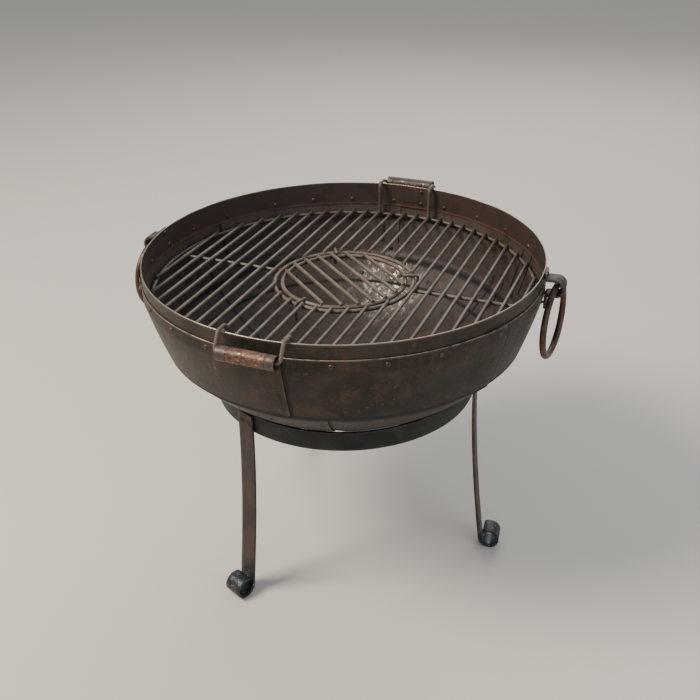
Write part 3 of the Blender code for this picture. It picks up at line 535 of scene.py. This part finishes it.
def panel_radius(depth):
    """Outside radius of the wall, drawn in below the band almost as a cone."""
    below = max(0.0, depth - BAND_HEIGHT)
    tuck = PANEL_TUCK * (below / (PANEL_DEPTH - BAND_HEIGHT)) ** PANEL_CURVE
    return PANEL_RADIUS - tuck - CREASE * (below > 0.002)


# The sheet's finish, darkest of all, with its sheared top edge rubbed bright in places, and a
# painted shade line along its lower edge.
panel_iron = oiled_sheet("oiled_wall_sheet", "#201b18", "#312721")
# painted shade along the edge of each lap
paint_shade_past_laps(panel_iron, PANEL_SEAM_AZ, PANELS)
panel_top, panel_foot = RIM - BAND_SHOWING, RIM - PANEL_DEPTH
top_edge = [between(panel_iron, panel_top - 0.0022, panel_top - 0.0012), mask(panel_iron, 0.014, 0.35, 0.55),
            edges(panel_iron, 0.48, 0.50)]
lay_over(panel_iron, top_edge, "#8a7c6e", 0.45, 0.7)
# painted shade over the last few millimetres of the panel's lower edge
lay_over(panel_iron, [between(panel_iron, panel_foot + 0.0052, panel_foot + 0.0032)], PAINTED_SHADE, 0.75, 0.0)

panel_height = PANEL_DEPTH - BAND_SHOWING
panel_depths = [PANEL_DEPTH - panel_height * row / PANEL_ROWS for row in range(PANEL_ROWS + 1)]
panel_profile = [(panel_radius(depth), depth) for depth in panel_depths]
for number in range(PANELS):
    first = PANEL_SEAM_AZ - PANEL_LAP + number * 360 / PANELS
    spun_sheet(panel_profile, first, 360 / PANELS + PANEL_LAP, PANEL_LAP, SHEET_STEP)
    fit("wall_panel_%d" % (number + 1), "bowl", "oiled_sheet", panel_iron, "panel_%d" % (number + 1))

# ---------------------------------------------------------------- lower plates and base
# The round bottom: three plates whose upper flange goes up inside the panels, lapped over one
# another, and a dished disc under their inner edge.
PLATES = 3
FLANGE = 0.022
PLATE_SEAM_AZ = -5.5
BOWL_DEPTH = 0.267
BASE_RADIUS = 0.146
PLATE_ROWS = 48
FLANGE_ROWS = 5
FLANGE_SET_IN = 1.25 * SHEET_STEP - CREASE   # of the flange's outside from the wall's outside
JOGGLE = 0.0026   # the plates are set in by this much where they pass under the wall's edge
plate_top = panel_radius(PANEL_DEPTH) - FLANGE_SET_IN
bowl_centre = (plate_top ** 2 + PANEL_DEPTH ** 2 - BOWL_DEPTH ** 2) / (2 * (BOWL_DEPTH - PANEL_DEPTH))
bowl_sphere = bowl_centre + BOWL_DEPTH

# The sheet's finish again, with painted shade just below the wall's edge and along each lap's edge.
plate_iron = oiled_sheet("oiled_bottom_sheet", "#1e1a17", "#2b2420")
paint_shade_past_laps(plate_iron, PLATE_SEAM_AZ, PLATES)
# painted shade on the plates under the wall's edge
shade_under_wall = [between(plate_iron, panel_foot - 0.0100, panel_foot - 0.0050),
              between(plate_iron, panel_foot + 0.0040, panel_foot - 0.0010)]
lay_over(plate_iron, shade_under_wall, PAINTED_SHADE, 0.75, 0.0)

hole_angle = asin(BASE_HOLE_RADIUS / bowl_sphere)
top_angle = asin(plate_top / bowl_sphere)
plate_angles = [hole_angle + (top_angle - hole_angle) * row / PLATE_ROWS for row in range(PLATE_ROWS + 1)]
plate_profile = [(bowl_sphere * sin(angle), bowl_sphere * cos(angle) - bowl_centre) for angle in plate_angles]
for row, share in ((-3, 0.5), (-2, 1.0), (-1, 1.0)):
    plate_profile[row] = (plate_profile[row][0] - JOGGLE * share, plate_profile[row][1])
for row in range(1, FLANGE_ROWS + 1):
    depth = PANEL_DEPTH - FLANGE * row / FLANGE_ROWS
    plate_profile.append((panel_radius(depth) - FLANGE_SET_IN, depth))
for number in range(PLATES):
    first = PLATE_SEAM_AZ - PANEL_LAP + number * 360 / PLATES
    spun_sheet(plate_profile, first, 360 / PLATES + PANEL_LAP, PANEL_LAP, -SHEET_STEP)
    fit("bottom_plate_%d" % (number + 1), "bowl", "oiled_sheet", plate_iron, "lower_plate_%d" % (number + 1))

BASE_ROWS = 20
base_sphere = bowl_sphere + SHEET_STEP
base_rise = RIM + bowl_centre
base_angles = [asin(BASE_RADIUS / bowl_sphere) * row / BASE_ROWS for row in range(BASE_ROWS, -1, -1)]
line = [Vector((base_sphere * sin(angle), 0, base_rise - base_sphere * cos(angle))) for angle in base_angles]
start_at(line[0])
draw_on(line)
bpy.ops.mesh.select_all(action="SELECT")
swing(360, (0, 0, 0), UP, 96)
bpy.ops.mesh.select_all(action="SELECT")
bpy.ops.mesh.remove_doubles(threshold=0.00002)
face_away(ABOVE_BOWL)
bpy.ops.object.mode_set(mode="OBJECT")
hammered_sheet()
fit("dished_base", "bowl", "oiled_sheet", plate_iron, "base_disc")

# ---------------------------------------------------------------- rivets of the bowl
# Soft iron rivets, about 7 mm across the head, closed over by hand: a row round the band and
# panels, one more in each seam, a row low on the panels, one on the plates and one at the base.
RIM_ROW_DEPTH = (BAND_SHOWING + BAND_HEIGHT) / 2
SEAM_DEPTH = BAND_HEIGHT + (PANEL_DEPTH - FLANGE - BAND_HEIGHT) * 0.55
LOWER_ROW_DEPTH = PANEL_DEPTH - FLANGE * 0.55
PLATE_ROW_DEPTH = 0.1590
SMALL_RIVET = (0.0036, 0.0018, 0.0019)   # radius of the head, its height, radius of the shank
HAMMER_DROP = 0.0003   # the hammered sheet has sunk by about this much
HEAD_LIFT = 0.0001     # a head stands this far off the sheet, where the sheet waves
PLATE_RIVETS = 24
PLATE_ROW_AZ = -8.0
BASE_RIVETS = 12
BASE_ROW_AZ = 8.0

# Soft iron, hammered cold: brown, and bright where the head has been knocked.
rivet_iron = worn_iron("rubbed_soft_iron", "#372d27", "#4b3d33", 0.010, 0.0012, 0.48, 0.5, 0.0003)
lay_over(rivet_iron, [edges(rivet_iron), mask(rivet_iron, 0.006, 0.42, 0.62)], "#8a7a6a", 0.38, 0.8)
# The same, burnt in with the sheet: nearly as dark as the wall.
dark_rivet_iron = worn_iron("burnt_soft_iron", "#2b2521", "#40332b", 0.010, 0.0012, 0.55, 0.4, 0.0003)
lay_over(dark_rivet_iron, [edges(dark_rivet_iron, 0.52, 0.62)], "#6a5a4c", 0.45, 0.7)


def sheet_rivet(name, azimuth, radius, depth, slope, grip, iron, *nodes):
    """A rivet through the bowl's sheets, square to a face that leans in by slope degrees."""
    inward = -radial(azimuth) * cos(radians(slope)) + UP * sin(radians(slope))
    outer = radial(azimuth) * radius + UP * (RIM - depth - HAMMER_DROP)
    rivet(SMALL_RIVET, outer - inward * HEAD_LIFT, inward, grip, azimuth)
    fit(name, "bowl", "rivet_iron", iron, *nodes)


def wall_slope(depth):
    """By how many degrees the wall leans in at a depth."""
    return degrees(atan2(panel_radius(depth - 0.0005) - panel_radius(depth + 0.0005), 0.001))


lap_azimuth = BAND_LAP_AZ + BAND_LAP / 2
sheet_rivet("band_lap_rivet_upper", lap_azimuth, RIM_RADIUS, BAND_SHOWING * 0.42, 0, 2 * SHEET_STEP,
            dark_rivet_iron, "band_lap_rivet_1")
sheet_rivet("band_lap_rivet_lower", lap_azimuth, PANEL_RADIUS, RIM_ROW_DEPTH, 0, 3 * SHEET_STEP,
            dark_rivet_iron, "band_lap_rivet_2")
for number in range(PANELS):
    seam = PANEL_SEAM_AZ - PANEL_LAP / 2 + number * 360 / PANELS
    count = number + 1
    sheet_rivet("rim_row_rivet_%d" % count, seam, PANEL_RADIUS + SHEET_STEP, RIM_ROW_DEPTH, 0,
                3 * SHEET_STEP, rivet_iron, "rim_rivet_%d" % count)
    for letter, offset in (("a", 14.5), ("b", 28.0), ("c", 41.5)):
        clear_of_lap = abs((seam + offset - lap_azimuth + 180) % 360 - 180) > 3
        if clear_of_lap:
            sheet_rivet("rim_row_rivet_%d%s" % (count, letter), seam + offset, PANEL_RADIUS, RIM_ROW_DEPTH, 0,
                        2 * SHEET_STEP, rivet_iron)
    sheet_rivet("seam_rivet_head_%d" % count, seam, panel_radius(SEAM_DEPTH) + SHEET_STEP, SEAM_DEPTH,
                wall_slope(SEAM_DEPTH), 2 * SHEET_STEP, dark_rivet_iron, "seam_rivet_%d" % count)
    sheet_rivet("low_row_rivet_%d" % count, seam, panel_radius(LOWER_ROW_DEPTH) + SHEET_STEP, LOWER_ROW_DEPTH,
                wall_slope(LOWER_ROW_DEPTH), 3.4 * SHEET_STEP, dark_rivet_iron, "lower_rivet_%d" % count)

plate_row_radius = sqrt(bowl_sphere ** 2 - (PLATE_ROW_DEPTH + bowl_centre) ** 2)
plate_row_slope = degrees(asin((PLATE_ROW_DEPTH + bowl_centre) / bowl_sphere))
for number in range(PLATE_RIVETS):
    by_eye = 1.5 * sin(number * 2.1)   # degrees: the rivets are set out by eye
    azimuth = PLATE_ROW_AZ + number * 360 / PLATE_RIVETS + by_eye
    sheet_rivet("plate_row_rivet_%d" % (number + 1), azimuth, plate_row_radius, PLATE_ROW_DEPTH,
                plate_row_slope, SHEET, dark_rivet_iron)

base_row_angle = asin((BASE_HOLE_RADIUS + BASE_RADIUS) / 2 / bowl_sphere)
base_row_radius = base_sphere * sin(base_row_angle)
base_row_depth = base_sphere * cos(base_row_angle) - bowl_centre
for number in range(BASE_RIVETS):
    azimuth = BASE_ROW_AZ + number * 360 / BASE_RIVETS
    sheet_rivet("base_rivet_%d" % (number + 1), azimuth, base_row_radius, base_row_depth,
                90 - degrees(base_row_angle), 2 * SHEET_STEP, dark_rivet_iron)

# ---------------------------------------------------------------- loops for the lifting rings
# A 25 x 4 mm strap bent to an ear over the ring, one flange riveted to the band and the other
# to the panel.  Its top is rubbed grey.
LOOP_AZIMUTHS = (72.0, -108.0)
LOOP_WIDTH = 0.025
LOOP_THICKNESS = 0.004
LOOP_DEPTH = 0.0250
LOOP_TOP_FLANGE = 0.0115
LOOP_LOWER_FLANGE = 0.0210
RIVET_INSET = 0.0052     # of each rivet from its flange's free end
LOOP_CLEARANCE = 0.0046  # round the ring inside its loop
LOOP_STANDOFF = 0.0129   # of the ring's side from the rim
RING_ROD = 0.0056
pivot_radius = RIM_RADIUS + RING_ROD + LOOP_STANDOFF
pivot_height = RIM - LOOP_DEPTH
half_strap = LOOP_THICKNESS / 2
loop_reach = RING_ROD + LOOP_CLEARANCE + half_strap

# Mild steel strap, bent hot: brown iron, worn grey at the top where the ring and hands rub it.
loop_iron = worn_iron("rubbed_strap_iron", "#332b27", "#453830", 0.02, 0.0016, 0.58, 0.25, 0.0004)
rubbed = [between(loop_iron, pivot_height - 0.004, pivot_height + 0.008), mask(loop_iron, 0.010, 0.45, 0.66)]
lay_over(loop_iron, rubbed, "#62584f", 0.52, 0.35)
lay_over(loop_iron, [mask(loop_iron, 0.010, 0.55, 0.68)], "#4f382d", 0.7, 0.15)

for number, azimuth in enumerate(LOOP_AZIMUTHS):
    out, along = radial(azimuth), tangent(azimuth)
    side = -along * LOOP_WIDTH / 2
    band_face = RIM_RADIUS + GAP + half_strap
    panel_face = PANEL_RADIUS + GAP + half_strap
    high, low = pivot_height + loop_reach, pivot_height - loop_reach
    strap = [out * band_face + UP * (high + LOOP_TOP_FLANGE), out * band_face + UP * (high + half_strap),
             out * (band_face + half_strap) + UP * high, out * pivot_radius + UP * high]
    strap = [place + side for place in strap]
    start_at(strap[0])
    draw_on(strap)
    swing(180, out * pivot_radius + UP * pivot_height + side, along, 12)
    foot = [out * pivot_radius + UP * low, out * (panel_face + half_strap) + UP * low,
            out * panel_face + UP * (low - half_strap), out * panel_face + UP * (low - LOOP_LOWER_FLANGE)]
    draw_on([place + side for place in foot])
    bpy.ops.mesh.select_all(action="SELECT")
    bpy.ops.mesh.extrude_region_move(TRANSFORM_OT_translate={"value": along * LOOP_WIDTH})
    face_away(out * 10 + UP * pivot_height)
    bpy.ops.mesh.flip_normals()
    bpy.ops.object.mode_set(mode="OBJECT")
    modify("SOLIDIFY", thickness=LOOP_THICKNESS, offset=0, use_even_offset=True)
    modify("BEVEL", width=0.0008, segments=2, limit_method="ANGLE", angle_limit=radians(50))
    fit("ring_ear_%d" % (number + 1), "bowl", "stand_bar", loop_iron, "ring_loop_%d" % (number + 1))
    heads = ((band_face, high + LOOP_TOP_FLANGE - RIVET_INSET),
             (panel_face, low - LOOP_LOWER_FLANGE + RIVET_INSET))
    for turn, (face, height) in enumerate(heads):
        count = number * 2 + turn + 1
        seat = out * (face + half_strap) + UP * height
        rivet(SMALL_RIVET, seat, -out, LOOP_THICKNESS + SHEET + 4 * GAP, count)
        fit("ear_rivet_%d" % count, "bowl", "rivet_iron", rivet_iron, "loop_rivet_%d" % count)

# ---------------------------------------------------------------- lifting rings
# Two rings of 11 mm round bar, forge welded, each hanging in its ear.  Brown, worn smooth by
# hands and by the ear.
LIFT_RADIUS = 0.0555
LIFT_SKEW = 9.0   # degrees by which each ring hangs skewed in its ear

# Mild steel round bar, forged and handled: a smooth red-brown with darker patches and bright nicks.
ring_iron = worn_iron("handled_round_iron", "#3f312b", "#553d33", 0.03, 0.0020, 0.40, 0.45, 0.0005)
lay_over(ring_iron, [mask(ring_iron, 0.014, 0.52, 0.66)], "#6a4536", 0.62, 0.2)
lay_over(ring_iron, [mask(ring_iron, 0.009, 0.60, 0.70)], "#2b2422", 0.5, 0.4)
lay_over(ring_iron, [mask(ring_iron, 0.004, 0.64, 0.72)], "#8c7a6b", 0.35, 0.8)

for number, azimuth in enumerate(LOOP_AZIMUTHS):
    centre = radial(azimuth) * pivot_radius + UP * (pivot_height - LIFT_RADIUS)
    bpy.ops.object.select_all(action="DESELECT")
    bpy.ops.mesh.primitive_torus_add(major_radius=LIFT_RADIUS, minor_radius=RING_ROD, major_segments=96,
                                     minor_segments=18, location=centre,
                                     rotation=(pi / 2, 0, radians(azimuth - LIFT_SKEW)))
    bpy.ops.object.transform_apply(location=True, rotation=True)
    modify("DISPLACE", texture=uneven, texture_coords="LOCAL", strength=0.0012, mid_level=1.0)
    fit("lifting_ring_%d" % (number + 1), "lift_ring_%d" % (number + 1), "forged_ring", ring_iron,
        "lift_ring_%d" % (number + 1), smooth=60)

# ---------------------------------------------------------------- cooking grate
# A hoop and an inner hoop of 6 mm bright rod, with bars of the same rod laid across and welded
# at each end, and a cross rod under the bars on each side.  Scrubbed grey, rusty at the welds.
ROD = 0.0029                       # radius
GRATE_RADIUS = RIM_RADIUS - 0.011  # of the hoop's centre line, which leaves room to lift the grate
OPENING_RADIUS = 0.1095
BAR_PITCH = 0.0235
BAR_TURN = 22.7                    # degrees from the back towards the right
GRATE = RIM - 0.0505               # height of the bars' axes
HOOP = GRATE - 2 * ROD + 0.0010    # the bars are sunk 1 mm into the hoops by their welds
INNER_HOOP_SHARE = 1.1             # the opening's hoop is a little thicker than the rod
CROSS_ROD_SHARE = 0.96
BAR_OVERHANG = ROD * 0.3           # of each bar past its hoop's centre line
BEAD_RADIUS = ROD * 1.12
BEAD_SHAPE = (1.35, 0.95, 0.72)    # shares of it along the hoop, across it and upright
HEAT_SAG = 0.0022                  # the grates have warped up and down by about 1 mm

# unevenness of rods that have been in a fire: waves about 160 mm long
sag = bpy.data.textures.new("sag", "CLOUDS")
sag.noise_scale = 0.16


def rod_finish(name, deep, warm, bare, hoops, reach):
    """Bright mild-steel rod that has been cooked on and scrubbed: grey, with rust by the hoops.

    hoops are the radii where the welds are, and reach is how far their rust spreads."""
    made = worn_iron(name, deep, warm, 0.03, 0.0040, 0.56, 0.35, 0.00004)
    tree = made.node_tree
    lay_over(made, [mask(made, 0.045, 0.42, 0.66)], bare, 0.52, 0.40)
    place = add_node(tree, "ShaderNodeTexCoord", {}, "Object")
    flat = add_node(tree, "ShaderNodeVectorMath", {0: place, 1: (1, 1, 0)}, operation="MULTIPLY")
    out = add_node(tree, "ShaderNodeVectorMath", {0: flat}, "Value", operation="LENGTH")
    for radius in hoops:
        off = add_node(tree, "ShaderNodeMath", {0: out, 1: radius}, operation="SUBTRACT")
        away = add_node(tree, "ShaderNodeMath", {0: off}, operation="ABSOLUTE")
        close = add_node(tree, "ShaderNodeMapRange", {"Value": away, "From Min": reach,
                                                      "From Max": reach / 4})
        lay_over(made, [close, mask(made, 0.012, 0.45, 0.68)], "#57473c", 0.6, 0.3)
        lay_over(made, [close, mask(made, 0.005, 0.62, 0.70)], "#74503c", 0.75, 0.15)
    lay_over(made, [mask(made, 0.012, 0.62, 0.74)], "#473e37", 0.55, 0.3)
    return made


def bent_rod(points, bend, radius, sides, rows):
    """Round rod: a disc pulled along each straight in a few rows, and swung round each bend."""
    heading = (points[1] - points[0]).normalized()
    bpy.ops.object.select_all(action="DESELECT")
    bpy.ops.mesh.primitive_circle_add(vertices=sides, radius=radius, fill_type="NGON", location=points[0],
                                      rotation=heading.to_track_quat("Z", "Y").to_euler())
    bpy.ops.object.mode_set(mode="EDIT")
    used = 0.0
    for before, here, after in zip(points, points[1:], points[2:] + [None]):
        heading = (here - before).normalized()
        turn = heading.angle(after - here) if after is not None else 0.0
        trim = bend * tan(turn / 2)
        length = (here - before).length - used - trim
        for row in range(rows):
            bpy.ops.mesh.extrude_region_move(TRANSFORM_OT_translate={"value": heading * length / rows})
        if turn > 0.001:
            axis = heading.cross(after - here).normalized()
            centre = here - heading * trim + axis.cross(heading) * bend
            swing(degrees(turn), centre, axis, 6)
        used = trim
    bpy.ops.mesh.select_all(action="SELECT")
    bpy.ops.mesh.normals_make_consistent(inside=False)
    bpy.ops.object.mode_set(mode="OBJECT")
    bpy.ops.object.transform_apply(location=True, rotation=True)
    return bpy.context.object


def hoop(radius, height, rod):
    """A level ring of round rod, closed by a weld that has been ground away."""
    bpy.ops.object.select_all(action="DESELECT")
    bpy.ops.mesh.primitive_torus_add(major_radius=radius, minor_radius=rod, major_segments=144,
                                     minor_segments=12, location=(0, 0, height))
    bpy.ops.object.transform_apply(location=True)
    return bpy.context.object


def weld_bead(place, along):
    """A lump of weld metal in the corner between a bar and its hoop, drawn out along the hoop."""
    bpy.ops.object.select_all(action="DESELECT")
    bpy.ops.mesh.primitive_uv_sphere_add(segments=10, ring_count=6, radius=BEAD_RADIUS, location=place,
                                         scale=BEAD_SHAPE, rotation=(0, 0, atan2(along.y, along.x)))
    bpy.ops.object.transform_apply(location=True, rotation=True, scale=True)
    return bpy.context.object


def welded_bar(middle, along, across, low, high, rows):
    """A bar laid over a hoop at low and at high, along its line, with a bead of weld at each end."""
    ends = [middle + along * (low - BAR_OVERHANG), middle + along * (high + BAR_OVERHANG)]
    beads = [middle + along * place - UP * ROD * 0.75 for place in (low + ROD * 0.5, high - ROD * 0.5)]
    return [bent_rod(ends, 0, ROD, sides=10, rows=rows)] + [weld_bead(bead, across) for bead in beads]


def weld_together(made):
    """Join the pieces of one weldment, ease their sharp ends, and warp it as fires have."""
    bpy.ops.object.select_all(action="DESELECT")
    for piece in made:
        piece.select_set(True)
    bpy.context.view_layer.objects.active = made[0]
    bpy.ops.object.join()
    modify("BEVEL", width=0.0004, segments=1, limit_method="ANGLE", angle_limit=radians(70))
    modify("DISPLACE", texture=sag, texture_coords="LOCAL", strength=HEAT_SAG, direction="Z", mid_level=0.5)


grate_steel = rod_finish("scrubbed_mild_steel_rod", "#564e47", "#61584f", "#6e675e",
                         (GRATE_RADIUS, OPENING_RADIUS), 0.022)
along = Vector((sin(radians(BAR_TURN)), cos(radians(BAR_TURN)), 0))
across = Vector((along.y, -along.x, 0))
weldment = [hoop(GRATE_RADIUS, HOOP, ROD), hoop(OPENING_RADIUS, HOOP, ROD * INNER_HOOP_SHARE)]
bars_each_side = int((GRATE_RADIUS - 2 * ROD) / BAR_PITCH)
for count in range(-bars_each_side, bars_each_side + 1):
    offset = count * BAR_PITCH
    middle = across * offset + UP * GRATE
    far = sqrt(GRATE_RADIUS ** 2 - offset ** 2)
    runs = [(-far, far)]
    if abs(offset) < OPENING_RADIUS - ROD:
        near = sqrt(OPENING_RADIUS ** 2 - offset ** 2)
        runs = [(-far, -near), (near, far)]
    for low, high in runs:
        weldment += welded_bar(middle, along, across, low, high, rows=10)
for side in (-1, 1):
    ends = [across * side * share + UP * HOOP for share in (OPENING_RADIUS, GRATE_RADIUS)]
    weldment.append(bent_rod(ends, 0, ROD * CROSS_ROD_SHARE, sides=10, rows=10))
weld_together(weldment)
fit("welded_cooking_grate", "grate", "grate_rod", grate_steel, "cooking_grate", smooth=60)

# ---------------------------------------------------------------- grate handles
# A length of the same rod at the front and at the back, bent up from the bars, over the rim and
# down, less so at the back, with a rolled 22 mm tube on its outside run as a grip that turns.
HANDLE_BARS = 2      # a handle spans this many bars on each side of its middle
HANDLE_BEND = 0.007
TUBE_RADIUS = 0.0108
TUBE_WALL = 0.0015
TUBE_LENGTH = 0.085
TUBE_STANDOFF = 0.0067                            # of the grip's side from the rim
TUBE_DEPTHS = {"front": 0.0205, "back": 0.0045}   # of the grip's axis below the rim
CRIMPS = (0.15, 0.80)                             # places of the rolled grooves, along the grip
CRIMP_ROW = 0.0008
CRIMP_DEPTH = 0.0006
handle_half = HANDLE_BARS * BAR_PITCH
foot_distance = sqrt(GRATE_RADIUS ** 2 - handle_half ** 2) - ROD
axis_distance = RIM_RADIUS + TUBE_RADIUS + TUBE_STANDOFF
over_rim = RIM + ROD + GAP

# The grate's rod, browner because it isn't scrubbed; two tubes of thin mild steel sheet, rolled and
# crimped: the front one gone copper-red with rust and scraped bright, the back one dark and greasy.
handle_steel = rod_finish("brown_handled_rod", "#4f453d", "#5f5047", "#74675b", (foot_distance,), 0.012)
copper_rust = worn_iron("rusty_rolled_tube", "#4a362e", "#62443a", 0.020, 0.0016, 0.45, 0.40, 0.0004)
dark_tube = worn_iron("dark_rolled_tube", "#38332f", "#453b35", 0.020, 0.0012, 0.45, 0.5, 0.0004)
for tube_iron, light, rust in ((copper_rust, "#a98c78", "#71493a"), (dark_tube, "#8a8178", "#54423a")):
    lay_over(tube_iron, [mask(tube_iron, 0.012, 0.50, 0.66)], rust, 0.6, 0.25)
    lay_over(tube_iron, [mask(tube_iron, 0.004, 0.58, 0.66, (0.45, 1, 1.6))], light, 0.35, 0.7)
    lay_over(tube_iron, [mask(tube_iron, 0.016, 0.60, 0.72)], "#2d2523", 0.6, 0.2)
    tree = tube_iron.node_tree
    place = add_node(tree, "ShaderNodeTexCoord", {}, "Object")
    run = add_node(tree, "ShaderNodeVectorMath", {0: place, 1: along.cross(UP)}, "Value",
                   operation="DOT_PRODUCT")
    off = add_node(tree, "ShaderNodeMath", {0: run}, operation="ABSOLUTE")
    tips = add_node(tree, "ShaderNodeMapRange", {"Value": off, "From Min": TUBE_LENGTH * 0.30,
                                                 "From Max": TUBE_LENGTH * 0.36})
    lay_over(tube_iron, [tips, mask(tube_iron, 0.010, 0.35, 0.55)], "#4d4641", 0.45, 0.5)

for end, out, tube_iron in (("front", -along, copper_rust), ("back", along, dark_tube)):
    sideways = out.cross(UP)
    axis_height = RIM - TUBE_DEPTHS[end]
    outline = ((foot_distance, GRATE + ROD + GAP), (foot_distance, over_rim), (RIM_RADIUS + ROD, over_rim),
               (axis_distance, axis_height))
    half = [out * distance + UP * height for distance, height in outline]
    path = [sideways * handle_half + place for place in half]
    path += [sideways * -handle_half + place for place in reversed(half)]
    bent_rod(path, HANDLE_BEND, ROD, sides=14, rows=3)
    fit("bent_handle_rod_" + end, "grate", "grate_rod", handle_steel, "handle_rod_" + end, smooth=60)

    centre = out * axis_distance + UP * axis_height
    bpy.ops.object.select_all(action="DESELECT")
    bpy.ops.mesh.primitive_cylinder_add(vertices=48, radius=TUBE_RADIUS, depth=TUBE_LENGTH,
                                        end_fill_type="NOTHING", location=centre,
                                        rotation=sideways.to_track_quat("Z", "Y").to_euler())
    bpy.ops.object.transform_apply(location=True, rotation=True)
    bpy.ops.object.mode_set(mode="EDIT")
    crimps = [(share - 0.5) * TUBE_LENGTH for share in CRIMPS]
    cuts = [crimp + step * CRIMP_ROW for crimp in crimps for step in (-1.5, -0.5, 0.5, 1.5)]
    for cut in cuts + [TUBE_LENGTH * (step / 12 - 0.5) for step in range(1, 12)]:
        bpy.ops.mesh.select_all(action="SELECT")
        bpy.ops.mesh.bisect(plane_co=centre + sideways * cut, plane_no=sideways)
    for crimp in crimps:
        select_where(lambda place: abs(sideways.dot(place - centre) - crimp) < 0.75 * CRIMP_ROW)
        bpy.ops.transform.shrink_fatten(value=-CRIMP_DEPTH)
    bpy.ops.object.mode_set(mode="OBJECT")
    modify("DISPLACE", texture=uneven, texture_coords="LOCAL", strength=0.0008, mid_level=1.0)
    modify("SOLIDIFY", thickness=TUBE_WALL, offset=-1)
    modify("BEVEL", width=0.0004, segments=2, limit_method="ANGLE", angle_limit=radians(50))
    fit("rolled_grip_" + end, "handle_tube_" + end, "tube_steel", tube_iron, "handle_tube_" + end)

# ---------------------------------------------------------------- lift-out middle grate
# A smaller hoop with seven bars welded across its top, held in the opening by three bent hooks
# that lie over the opening's hoop.  The same rod, but rustier than the cooking grate.
MIDDLE_RADIUS = OPENING_RADIUS - 0.0125
MIDDLE_PITCH = 0.0232
MIDDLE_TURN = -26.0
MIDDLE_BARS_EACH_SIDE = 3
HOOK_ANGLES = (0.0, 97.0, 231.0)
HOOK_ROD = 0.0024
HOOK_DROP = 0.028
HOOK_REACH = 0.0072   # of a hook's outer leg past the opening's hoop

middle_steel = rod_finish("rusty_mild_steel_rod", "#5a4f47", "#675a50", "#756b61",
                          (MIDDLE_RADIUS, OPENING_RADIUS), 0.014)
along_middle = Vector((sin(radians(MIDDLE_TURN)), cos(radians(MIDDLE_TURN)), 0))
across_middle = Vector((along_middle.y, -along_middle.x, 0))
weldment = [hoop(MIDDLE_RADIUS, HOOP, ROD * INNER_HOOP_SHARE)]
for count in range(-MIDDLE_BARS_EACH_SIDE, MIDDLE_BARS_EACH_SIDE + 1):
    offset = count * MIDDLE_PITCH
    middle = across_middle * offset + UP * GRATE
    far = sqrt(MIDDLE_RADIUS ** 2 - offset ** 2)
    weldment += welded_bar(middle, along_middle, across_middle, -far, far, rows=8)
weld_together(weldment)
fit("welded_middle_grate", "middle_grate", "middle_rod", middle_steel, "middle_grate", smooth=60)

hook_height = HOOP + ROD + HOOK_ROD + GAP
for number, angle in enumerate(HOOK_ANGLES):
    out = Vector((cos(radians(angle)), sin(radians(angle)), 0))
    corner = OPENING_RADIUS + HOOK_REACH
    path = [out * (MIDDLE_RADIUS - ROD) + UP * hook_height, out * corner + UP * hook_height,
            out * corner + UP * (hook_height - HOOK_DROP)]
    bent_rod(path, HOOK_ROD * 1.4, HOOK_ROD, sides=12, rows=3)
    modify("BEVEL", width=0.0005, segments=2, limit_method="ANGLE", angle_limit=radians(60))
    modify("DISPLACE", texture=sag, texture_coords="LOCAL", strength=HEAT_SAG, direction="Z", mid_level=0.5)
    fit("bent_hook_%d" % (number + 1), "middle_grate", "middle_rod", middle_steel, "hook_%d" % (number + 1),
        smooth=60)
